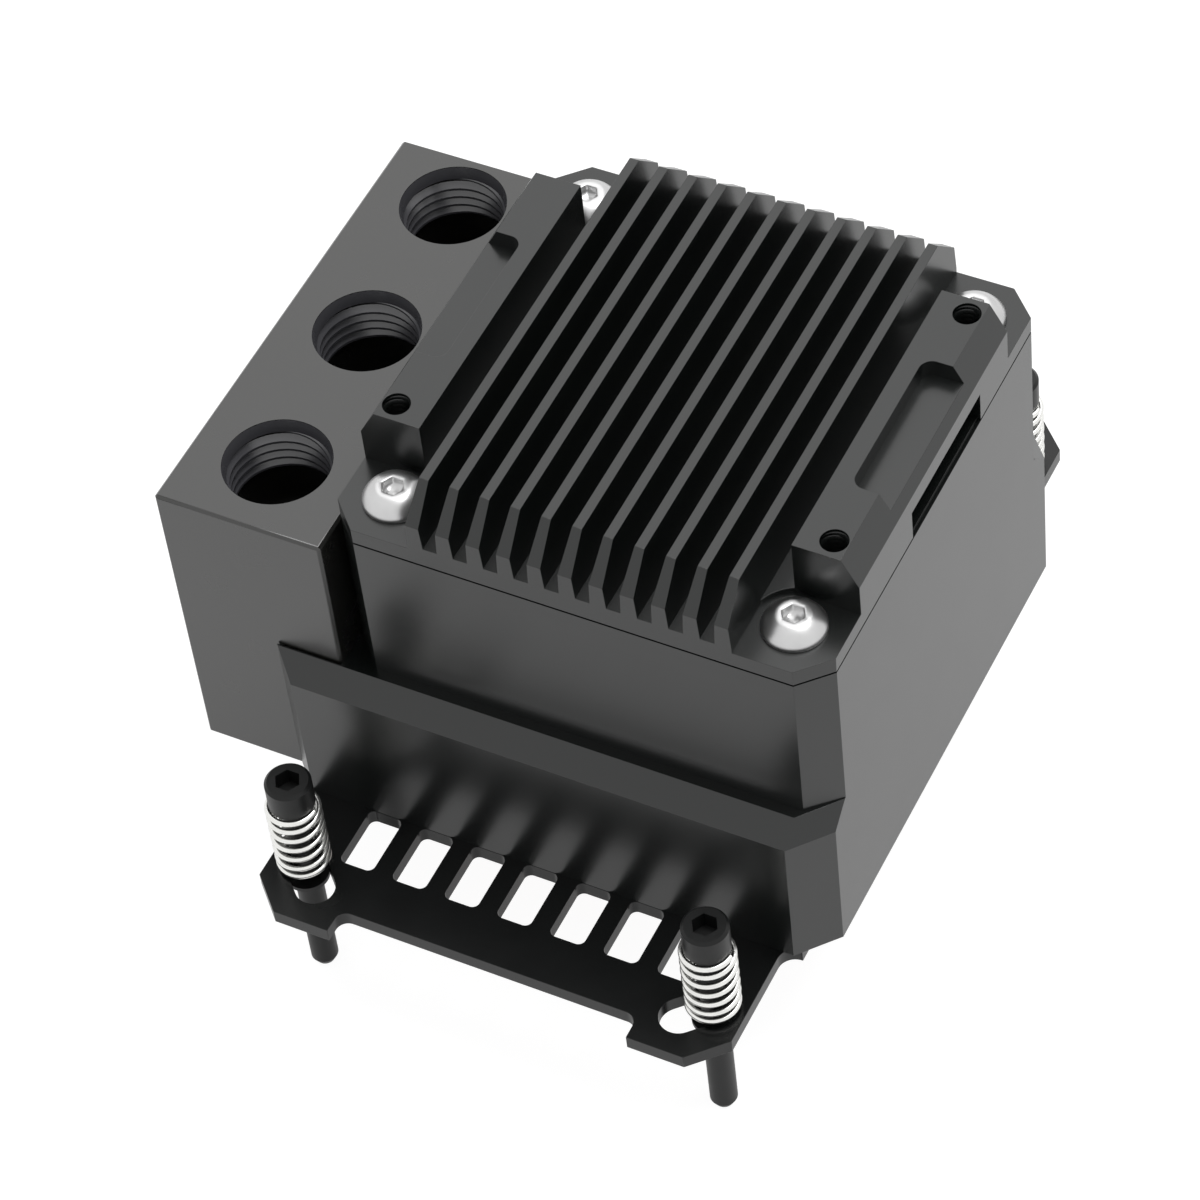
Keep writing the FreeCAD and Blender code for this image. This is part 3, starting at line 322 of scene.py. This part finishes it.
# %% The bright metals
# Zinc plated screws: pale, satin from tumbling, with a fine grain drawn at 0.15 mm.
bright = finish("zinc_plated_steel", "#cecece", 0.34, metallic=1.0, mottle=0.05, mottle_mm=2.0,
                grain_mm=0.15, grain_deep_mm=0.002)
# Drawn and nickelled spring wire: smooth and pale.
wire = finish("nickelled_spring_wire", "#ebebe8", 0.22, metallic=1.0, mottle=0.03, mottle_mm=1.5,
              grain_deep_mm=0.001)
# Machined copper: the cutter's passes 0.4 mm apart.
copper = finish("machined_copper", "#c87a5a", 0.24, metallic=1.0, pattern=bands(0.4, 0.002, "X"))
# Electrical steel in layers of 0.5 mm.
layers = finish("laminated_steel", "#84868a", 0.38, metallic=1.0, pattern=bands(0.5, 0.02))
# Sintered magnet: grey, dense and slightly grainy.
magnet = finish("sintered_magnet", "#3a3b3d", 0.42, metallic=1.0, grain_deep_mm=0.004)
print("bright metals made:", [m.name for m in (bright, wire, copper, layers, magnet)])

# %% [markdown]
# ### Polymers, ceramic and coil
# These sit inside or under the object and show only when it is opened, so each has one trait
# that names it: the rubber's dullness, the polymer's flow marks, the enamel's wires, the weave
# under the solder mask.

# %% The other finishes
# Moulded seal rubber: matt, with a fine skin.
rubber = finish("moulded_seal_rubber", "#161616", 0.65, grain_deep_mm=0.006)
# Glass filled polymer of the pump: matt with faint flow marks.
polymer = finish("moulded_pump_polymer", "#242526", 0.48, mottle_mm=9.0, grain_deep_mm=0.006)
# Enamelled copper winding: wires 0.45 mm apart under a clear brown enamel.
winding = finish("enamelled_winding", "#8a4a24", 0.25, ior=1.55, pattern=bands(0.45, 0.12))
# Polished white ceramic of the bearing pin.
ceramic = finish("polished_ceramic", "#e6e3da", 0.12, ior=1.70, grain_deep_mm=0.0005)
# Solder mask over glass cloth, whose weave shows through at 0.6 mm.
mask = finish("solder_mask_green", "#0f4a2a", 0.28, pattern=bands(0.6, 0.01, "X"))
# Soft heat pad: grey silicone, matt.
pad = finish("silicone_heat_pad", "#8d949b", 0.70, grain_deep_mm=0.01)
print("the rest made:", [m.name for m in (rubber, polymer, winding, ceramic, mask, pad)])

# %% [markdown]
# ## Dressing the CAD pieces
# A CAD solid keeps its exact shape and gets its finish through its material slots. A table of
# nodes and finishes says the most in the fewest lines, and a name that is missing in it shows up
# in the list of undressed nodes.

# %% Give each node its finish
FINISHES = {
    "heatsink_lid": anodised, "pump_housing": anodised, "port_block": anodised_grey,
    "mounting_bracket": coated, "lid_screws": bright, "block_screws": oxide,
    "bracket_screws": oxide, "gallery_plug": oxide, "cold_plate": copper,
    "cold_plate_seal": rubber, "can_seal": rubber,
    "lid_gasket": rubber, "port_seal_1": rubber, "port_seal_2": rubber, "jet_plate": polymer,
    "separator_can": polymer, "volute_floor": polymer, "impeller": polymer, "stator_core": layers,
    "rotor_magnet": magnet, "bearing_pin": ceramic, "circuit_board": mask, "thermal_pad": pad,
}
for number in range(1, 5):
    FINISHES["mount_screw_%d" % number] = oxide
    FINISHES["mount_clip_%d" % number] = oxide
    FINISHES["mount_spring_%d" % number] = wire
for number in range(1, 7):
    FINISHES["stator_coil_%d" % number] = winding


def wear(thing, material):
    """Put one finish on the whole of a piece."""
    thing.data.materials.clear()
    thing.data.materials.append(material)


for name, material in FINISHES.items():
    wear(nodes[name], material)
print("undressed nodes:", sorted(set(nodes) - set(FINISHES)))

# %% [markdown]
# ### Broken edges
# Sharp CAD edges never catch light, and every real edge does: the milled and pressed parts are
# tumbled, which breaks their edges by a tenth or a quarter of a millimetre. A bevel in the solid
# would do it too, but it is looks and not fit, so it is made here. A CAD mesh is loose triangles,
# so a copy is merged, its flat faces are joined again, and a Bevel modifier rounds only outer
# edges sharper than 25 degrees, because a cutter leaves inner corners crisp. The shading of a
# corner then follows its largest face, so that flat faces stay flat to the rim.

# %% A copy of a node with broken edges
SHARP = math.radians(25)
MERGE_MM = 0.002
FLAT = math.radians(0.5)


def broken_edges(node, wide_mm, shortest_mm):
    """A merged copy of a node with a live bevel on its sharp outer edges."""
    mesh = nodes[node].data.copy()
    shape = bmesh.new()
    shape.from_mesh(mesh)
    bmesh.ops.remove_doubles(shape, verts=shape.verts, dist=MERGE_MM * MM)
    bmesh.ops.dissolve_limit(shape, angle_limit=FLAT, verts=shape.verts, edges=shape.edges)
    weight = shape.edges.layers.float.new("bevel_weight_edge")
    for edge in shape.edges:
        turned = edge.calc_face_angle_signed(0.0)
        edge[weight] = float(turned > SHARP and edge.calc_length() > shortest_mm * MM)
        edge.smooth = abs(turned) < SHARP
    for face in shape.faces:
        face.smooth = True
    shape.to_mesh(mesh)
    shape.free()
    piece = bpy.data.objects.new(node + "_edged", mesh)
    bpy.context.scene.collection.objects.link(piece)
    bevel = piece.modifiers.new("broken_edge", "BEVEL")
    bevel.limit_method = "WEIGHT"
    bevel.width = wide_mm * MM
    bevel.segments = 2
    flats = piece.modifiers.new("flat_faces", "WEIGHTED_NORMAL")
    flats.weight = 100
    flats.keep_sharp = True
    wear(piece, FINISHES[node])
    return piece


print("edges sharper than", round(math.degrees(SHARP)), "degrees are broken")

# %% [markdown]
# The width differs with the work: the housing is tumbled most, its finned lid less so that the
# fins stay crisp, and the bracket has the rounding that a press leaves. The port block is barely
# broken. The rims of its ports are rows of short edges, which are left sharp.

# %% Break the edges of the four black parts
# node: width of the broken edge and shortest edge that is broken, in millimetres, and its slot
EDGES = {
    "heatsink_lid": (0.09, 0.0, "black_anodised"),
    "pump_housing": (0.24, 0.0, "black_anodised"),
    "port_block": (0.06, 2.0, "black_anodised"),
    "mounting_bracket": (0.12, 0.0, "bracket_black"),
}
for node, (wide_mm, shortest_mm, slot) in EDGES.items():
    piece = broken_edges(node, wide_mm, shortest_mm)
    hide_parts(node)
    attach(piece, "base")
    print(piece.name, "faces", len(piece.data.polygons))

# %% [markdown]
# ## Parts that repeat or follow a rule
# A coil spring and a cut thread are both rules: a profile that goes round an axis and climbs.
# Geometry Nodes state the rule once and run it wherever a carrier mesh has a point. The carrier
# is read as a plain mesh afterwards, so the model needs no nodes.

# %% Begin a tree and end it


def new_tree(name, sizes):
    """A Geometry Nodes tree with named number inputs, and each input's identifier."""
    tree = bpy.data.node_groups.new(name, "GeometryNodeTree")
    new_socket = tree.interface.new_socket
    new_socket("Geometry", in_out="INPUT", socket_type="NodeSocketGeometry")
    new_socket("Geometry", in_out="OUTPUT", socket_type="NodeSocketGeometry")
    kinds = {size: "NodeSocketFloat" for size in sizes}
    kinds["Finish"] = "NodeSocketMaterial"
    codes = {}
    for label, kind in kinds.items():
        codes[label] = new_socket(label, in_out="INPUT", socket_type=kind).identifier
    return tree, codes, add(tree, "NodeGroupInput").outputs


def maths(tree, operation, a, b=0.0, c=0.0):
    """The result of one Math node, for short formulas."""
    return add(tree, "ShaderNodeMath", {0: a, 1: b, 2: c}, operation=operation).outputs[0]


def end_tree(tree, given, shape):
    """Stand the shape on every point of the carrier, with its finish, as real mesh."""
    spread = add(tree, "GeometryNodeInstanceOnPoints", {
        "Points": given["Geometry"], "Instance": shape})
    real = add(tree, "GeometryNodeRealizeInstances", {0: spread.outputs[0]})
    done = add(tree, "GeometryNodeSetMaterial", {
        "Geometry": real.outputs[0], "Material": given["Finish"]})
    add(tree, "NodeGroupOutput", {0: done.outputs[0]})


print("tree helpers ready")

# %% [markdown]
# Running a tree means giving it to a modifier on the carrier, filling in its sizes and reading
# the evaluated mesh. The ends of a sweep or of a closed ring meet in double points, so the mesh
# is welded, and its corners are then marked sharp by their angle.

# %% Run a tree and bake it
CREASE = math.radians(40)
WELD_MM = 0.0005


def baked(name, places_mm, tree, codes, sizes, material):
    """Run a tree on points at these places and keep the closed mesh that it makes."""
    points = bpy.data.meshes.new(name + "_points")
    points.from_pydata([[v * MM for v in place] for place in places_mm], [], [])
    piece = bpy.data.objects.new(name, points)
    bpy.context.scene.collection.objects.link(piece)
    rule = piece.modifiers.new("rule", "NODES")
    rule.node_group = tree
    for size, value in sizes.items():
        rule[codes[size]] = float(value)
    rule[codes["Finish"]] = material
    graph = bpy.context.evaluated_depsgraph_get()
    mesh = bpy.data.meshes.new_from_object(piece.evaluated_get(graph))
    piece.modifiers.remove(rule)
    shape = bmesh.new()
    shape.from_mesh(mesh)
    bmesh.ops.remove_doubles(shape, verts=shape.verts, dist=WELD_MM * MM)
    bmesh.ops.recalc_face_normals(shape, faces=shape.faces)
    for edge in shape.edges:
        edge.smooth = edge.calc_face_angle(0.0) < CREASE
    for face in shape.faces:
        face.smooth = True
    shape.to_mesh(mesh)
    shape.free()
    mesh.name = name
    piece.data = mesh
    print(name, "faces", len(mesh.polygons))
    return piece


print("corners over", round(math.degrees(CREASE)), "degrees stay sharp")

# %% [markdown]
# ### Coil springs
# A compression spring is round wire whose end turns are closed, so that it stands flat. Along
# the wire the height is one wire thickness a turn, plus a share of the free gap that is only
# given out between the closed ends. Smooth minimum and maximum round off both changes of pitch.
# The tree makes a straight line of points, bends it into the coil and sweeps a circle along it.

# %% The spring's rule
STEPS_A_TURN = 48
WIRE_SIDES = 14
SMOOTHING = 0.12
SPRING_SIZES = ["Wire", "Middle radius", "Turns", "Closed below", "Closed above", "Height",
                "Start angle"]

spring_tree, spring_codes, given = new_tree("coil_spring", SPRING_SIZES)
tree = spring_tree
steps = maths(tree, "MULTIPLY_ADD", given["Turns"], STEPS_A_TURN, 1.0)
line = add(tree, "GeometryNodeCurvePrimitiveLine", {"End": (0.0, 0.0, 1.0)})
line = add(tree, "GeometryNodeResampleCurve", {"Curve": line.outputs[0], "Count": steps})
turned = maths(tree, "DIVIDE", add(tree, "GeometryNodeInputIndex").outputs[0], STEPS_A_TURN)
angle = maths(tree, "MULTIPLY_ADD", turned, 2 * math.pi, given["Start angle"])
closed_turns = maths(tree, "ADD", given["Closed below"], given["Closed above"])
open_turns = maths(tree, "SUBTRACT", given["Turns"], closed_turns)
share = maths(tree, "SUBTRACT", turned, given["Closed below"])
share = maths(tree, "DIVIDE", share, open_turns)
share = maths(tree, "SMOOTH_MIN", share, 1.0, SMOOTHING)
share = maths(tree, "SMOOTH_MAX", share, 0.0, SMOOTHING)
closed_high = maths(tree, "MULTIPLY", given["Wire"], maths(tree, "ADD", given["Turns"], 1.0))
free_gap = maths(tree, "SUBTRACT", given["Height"], closed_high)
half_wire = maths(tree, "MULTIPLY", given["Wire"], 0.5)
high = maths(tree, "MULTIPLY_ADD", turned, given["Wire"], half_wire)
high = maths(tree, "MULTIPLY_ADD", share, free_gap, high)
spot = add(tree, "ShaderNodeCombineXYZ", {
    "X": maths(tree, "MULTIPLY", maths(tree, "COSINE", angle), given["Middle radius"]),
    "Y": maths(tree, "MULTIPLY", maths(tree, "SINE", angle), given["Middle radius"]), "Z": high})
coil = add(tree, "GeometryNodeSetPosition", {
    "Geometry": line.outputs[0], "Position": spot.outputs[0]})
section = add(tree, "GeometryNodeCurvePrimitiveCircle", {
    "Resolution": WIRE_SIDES, "Radius": half_wire})
swept = add(tree, "GeometryNodeCurveToMesh", {
    "Curve": coil.outputs[0], "Profile Curve": section.outputs[0], "Fill Caps": True})
end_tree(tree, given, swept.outputs[0])
print("spring tree, nodes", len(tree.nodes))

# %% [markdown]
# The photograph shows a lower end that is closed for a full turn and an upper one that is closed
# for less than half, and the number of turns and the start angle put the two cut ends of the wire
# where they are seen. Each spring stays one piece from ear to head.

# %% Wind the four springs
SCREW_PLACES_MM = {1: (27.0, -45.0), 2: (-27.0, -45.0), 3: (-27.0, 45.0), 4: (27.0, 45.0)}
SPRING_LOW_MM = 3.5
SPRING_HIGH_MM = 15.2
SPRING = {
    "Wire": 0.75 * MM, "Middle radius": 3.025 * MM, "Turns": 6.93, "Closed below": 1.05,
    "Closed above": 0.4, "Height": (SPRING_HIGH_MM - SPRING_LOW_MM) * MM,
    "Start angle": math.radians(26),
}
for number, (x, y) in SCREW_PLACES_MM.items():
    spring = baked("coil_spring_%d" % number, [(x, y, SPRING_LOW_MM)],
                   spring_tree, spring_codes, SPRING, wire)
    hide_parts("mount_spring_%d" % number)
    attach(spring, "base")
    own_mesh(spring)

# %% [markdown]
# ### Button heads
# The lid's bright screws are the eye's first stop, so they are turned again as smooth rings of
# points: shank, seat, domed side, rounded lip, and the walls and floor of a hexagon socket. The
# socket's ring has a corner every sixty degrees, which its radius finds from the angle alone.

# %% The section of a button head
# every pair is a radius and a height; the dome bends from the seat to the rim past the shoulder
SHANK_MM = (2.0, -14.0)
SEAT_MM = (3.8, 0.45)
SHOULDER_MM = (3.15, 1.72)
RIM_MM = (1.98, 2.2)
DOME_STEPS = 10
# the lip and the socket under it, as radii beyond the hexagon's wall, which is half a key away
KEY_HALF_MM = 1.17
LIP_MM = ((0.17, 2.21), (0.08, 2.18), (0.02, 2.11), (0.0, 2.0))
KEY_FLOOR_MM = 1.15


def hexagon_radius(turn):
    """How far the socket's wall stands from the axis at this angle."""
    return KEY_HALF_MM / math.cos(turn % (math.pi / 3) - math.pi / 6)


def dome(share):
    """A point of the domed side, from the seat to the rim."""
    weights = ((1 - share) ** 2, 2 * share * (1 - share), share ** 2)
    return [sum(w * p[i] for w, p in zip(weights, (SEAT_MM, SHOULDER_MM, RIM_MM))) for i in (0, 1)]


outside = [SHANK_MM, (SHANK_MM[0], 0.0), (SEAT_MM[0], 0.0)]
outside += [dome(step / DOME_STEPS) for step in range(DOME_STEPS + 1)]
socket = list(LIP_MM) + [(0.0, KEY_FLOOR_MM)]
profile = [(radius, high, False) for radius, high in outside]
profile += [(radius, high, True) for radius, high in socket]
print("rings in a button head", len(profile))

# %% [markdown]
# The section is turned round the axis of each screw, ring by ring, and neighbouring rings are
# joined by quads. All four heads go into one mesh, because they are one piece in the solids.

# %% Turn the four lid screws
AROUND = 48
LID_MIDDLE_X_MM = 5.9
LID_REACH_MM = 24.9
LID_LEDGE_MM = 51.2
LID_CORNERS = ((1, -1), (-1, -1), (-1, 1), (1, 1))
LID_SCREWS_MM = [(LID_MIDDLE_X_MM + sx * LID_REACH_MM, sy * LID_REACH_MM, LID_LEDGE_MM)
                 for sx, sy in LID_CORNERS]

shape = bmesh.new()
for place in LID_SCREWS_MM:
    rings = []
    for radius, high, is_key in profile:
        ring = []
        for step in range(AROUND):
            turn = 2 * math.pi * step / AROUND
            out = radius + hexagon_radius(turn) * is_key
            spot = Vector((out * math.cos(turn), out * math.sin(turn), high)) + Vector(place)
            ring.append(shape.verts.new(spot * MM))
        rings.append(ring)
    for low, high in zip(rings, rings[1:]):
        for step in range(AROUND):
            after = (step + 1) % AROUND
            shape.faces.new((low[step], low[after], high[after], high[step]))
    shape.faces.new(list(reversed(rings[0])))
    shape.faces.new(rings[-1])
for face in shape.faces:
    face.smooth = True
for edge in shape.edges:
    edge.smooth = edge.calc_face_angle(0.0) < CREASE
button_mesh = bpy.data.meshes.new("button_heads")
shape.to_mesh(button_mesh)
shape.free()
button_heads = bpy.data.objects.new("button_heads", button_mesh)
bpy.context.scene.collection.objects.link(button_heads)
wear(button_heads, bright)
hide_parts("lid_screws")
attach(button_heads, "base")
print("button heads, faces", len(button_mesh.polygons))

# %% [markdown]
# ### Cut threads
# The bores of the solid have the thread's full width, so only the ridges that a tap leaves
# standing are missing. A ridge goes round the wall and climbs a pitch a turn. It is a grid five
# points wide: low foot, the crest's two edges, high foot and low foot again, which closes it. Its
# upper flank is wide and its lower one steep, because the eye knows a bored thread by the light
# bands of the one and the dark lines of the other. The crest runs out to nothing at both ends. A
# turn that doesn't climb is a ring, which is the tapered lead-in of the mouth.

# %% The ridge's rule: which point is where on the ridge
# points across the ridge: 0 low foot, 1 and 2 the crest's edges, 3 high foot, 4 low foot again
ACROSS = 5
LOW_CREST, HIGH_CREST, HIGH_FOOT = 1, 2, 3
NEAR = 0.1
RIDGE_SIZES = ["Foot radius", "Crest radius", "Above", "Below", "Crest above", "Crest below",
               "Climb", "Turns", "Run out", "Ring"]

ridge_tree, ridge_codes, given = new_tree("thread_ridge", RIDGE_SIZES)
tree = ridge_tree
steps = maths(tree, "MULTIPLY_ADD", given["Turns"], STEPS_A_TURN, 1.0)
grid = add(tree, "GeometryNodeMeshGrid", {"Vertices X": steps, "Vertices Y": ACROSS})
index = add(tree, "GeometryNodeInputIndex").outputs[0]
across = maths(tree, "MODULO", index, ACROSS)
along = maths(tree, "FLOOR", maths(tree, "DIVIDE", index, ACROSS))
turned = maths(tree, "DIVIDE", along, STEPS_A_TURN)
left = maths(tree, "MINIMUM", turned, maths(tree, "SUBTRACT", given["Turns"], turned))
stand = maths(tree, "MULTIPLY_ADD", left, given["Run out"], given["Ring"])
stand = maths(tree, "MINIMUM", stand, 1.0)
is_low_crest = maths(tree, "COMPARE", across, LOW_CREST, NEAR)
is_high_crest = maths(tree, "COMPARE", across, HIGH_CREST, NEAR)
is_crest = maths(tree, "ADD", is_low_crest, is_high_crest)
is_high = maths(tree, "COMPARE", across, HIGH_FOOT, NEAR)
is_low = maths(tree, "SUBTRACT", 1.0, maths(tree, "ADD", is_crest, is_high))
print("ridge tree, nodes so far", len(tree.nodes))

# %% [markdown]
# Each point then gets a radius, the crest's or the foot's, and a height: the climb of the turn
# plus its own place above or below the middle of the ridge. Both the tooth and the width shrink
# with "stand", so the ridge thins to a line where it runs out.

# %% The ridge's rule: radius and height
tooth = maths(tree, "SUBTRACT", given["Crest radius"], given["Foot radius"])
tooth = maths(tree, "MULTIPLY", tooth, stand)
radius = maths(tree, "MULTIPLY_ADD", tooth, is_crest, given["Foot radius"])
lift = maths(tree, "MULTIPLY", given["Above"], is_high)
lift = maths(tree, "MULTIPLY_ADD", given["Crest above"], is_high_crest, lift)
drop = maths(tree, "MULTIPLY", given["Below"], is_low)
drop = maths(tree, "MULTIPLY_ADD", given["Crest below"], is_low_crest, drop)
lift = maths(tree, "SUBTRACT", lift, drop)
high = maths(tree, "MULTIPLY", turned, given["Climb"])
high = maths(tree, "MULTIPLY_ADD", lift, stand, high)
angle = maths(tree, "MULTIPLY", turned, 2 * math.pi)
spot = add(tree, "ShaderNodeCombineXYZ", {
    "X": maths(tree, "MULTIPLY", maths(tree, "COSINE", angle), radius),
    "Y": maths(tree, "MULTIPLY", maths(tree, "SINE", angle), radius), "Z": high})
ridge = add(tree, "GeometryNodeSetPosition", {
    "Geometry": grid.outputs[0], "Position": spot.outputs[0]})
end_tree(tree, given, ridge.outputs[0])
print("ridge tree, nodes", len(tree.nodes))

# %% [markdown]
# A thread is set by its pitch: the feet of the ridge nearly touch from turn to turn, and the
# crest is a narrow land below the middle, which makes the upper flank the wide one. The foot is
# bedded a little in the wall, so that no gap shows between the ridge and the solid.

# %% A thread from its pitch
BED_MM = 0.02
# shares of the pitch from the middle of the ridge: both feet, the crest's upper edge counted
# upwards and its lower edge counted downwards
FOOT_SHARE = 0.46
CREST_ABOVE_SHARE = -0.08
CREST_BELOW_SHARE = 0.34
# a full turn from its end the ridge would have grown to this many times its size
RUN_OUT = 3.0


def thread(name, places_mm, foot_mm, crest_mm, pitch_mm, turns, skin):
    """Ridges with a wide upper flank, from the lowest place upwards."""
    return baked(name, places_mm, ridge_tree, ridge_codes, {
        "Foot radius": (foot_mm + BED_MM) * MM, "Crest radius": crest_mm * MM,
        "Above": FOOT_SHARE * pitch_mm * MM, "Below": FOOT_SHARE * pitch_mm * MM,
        "Crest above": CREST_ABOVE_SHARE * pitch_mm * MM,
        "Crest below": CREST_BELOW_SHARE * pitch_mm * MM,
        "Climb": pitch_mm * MM, "Turns": turns, "Run out": RUN_OUT, "Ring": 0.0}, skin)


print("a ridge is full after", round(1 / RUN_OUT, 2), "of a turn")

# %% [markdown]
# The ports have the usual pipe thread of 19 turns an inch, and the rails carry small tapped
# holes for whatever is screwed on top. Both are the same rule at another pitch. The places are
# those of the bores in the solids.

# %% Thread the ports and the rails
PORT_X_MM = -36.65
PORT_YS_MM = (-21.86, 0.42, 22.70)
PORT_TOP_MM = 46.9
PORT_FOOT_MM = 6.58
PORT_CREST_MM = 5.98
PORT_PITCH_MM = 1.337
PORT_TURNS = 4.5
LEAD_IN_MM = 1.9
OVERLAP_TURNS = 0.35
mouth_low = PORT_TOP_MM - LEAD_IN_MM
port_low = mouth_low - (PORT_TURNS - OVERLAP_TURNS) * PORT_PITCH_MM
port_threads = thread("port_threads", [(PORT_X_MM, y, port_low) for y in PORT_YS_MM],
                      PORT_FOOT_MM, PORT_CREST_MM, PORT_PITCH_MM, PORT_TURNS, bored)

RAIL_HOLES_MM = [(-21.225, -18.25), (33.025, -18.25), (33.025, 18.25)]
RAIL_TOP_MM = 59.4
RAIL_DEEP_MM = 5.7
RAIL_FOOT_MM = 1.65
RAIL_CREST_MM = 1.38
RAIL_PITCH_MM = 0.7
RAIL_TURNS = 7.5
rail_low = RAIL_TOP_MM - RAIL_DEEP_MM
rail_threads = thread("rail_threads", [(x, y, rail_low) for x, y in RAIL_HOLES_MM],
                      RAIL_FOOT_MM, RAIL_CREST_MM, RAIL_PITCH_MM, RAIL_TURNS, anodised)

# %% [markdown]
# A fitting finds its way into a port by a taper at the mouth. It is the same ridge without
# climb: one turn whose upper foot reaches the top face and whose crest stands out less than the
# thread's. The last turn of the thread runs a little way into it, so no gap opens between them.

# %% Taper the mouths of the ports
MOUTH_CREST_MM = 6.20
MOUTH = {
    "Foot radius": (PORT_FOOT_MM + BED_MM) * MM, "Crest radius": MOUTH_CREST_MM * MM,
    "Above": (LEAD_IN_MM - BED_MM) * MM, "Below": 0.1 * MM, "Crest above": 0.30 * MM,
    "Crest below": -0.20 * MM, "Climb": 0.0, "Turns": 1.0, "Run out": 0.0, "Ring": 1.0,
}
port_mouths = baked("port_mouths", [(PORT_X_MM, y, mouth_low) for y in PORT_YS_MM],
                    ridge_tree, ridge_codes, MOUTH, bored)
for piece in (port_threads, port_mouths, rail_threads):
    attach(piece, "base")
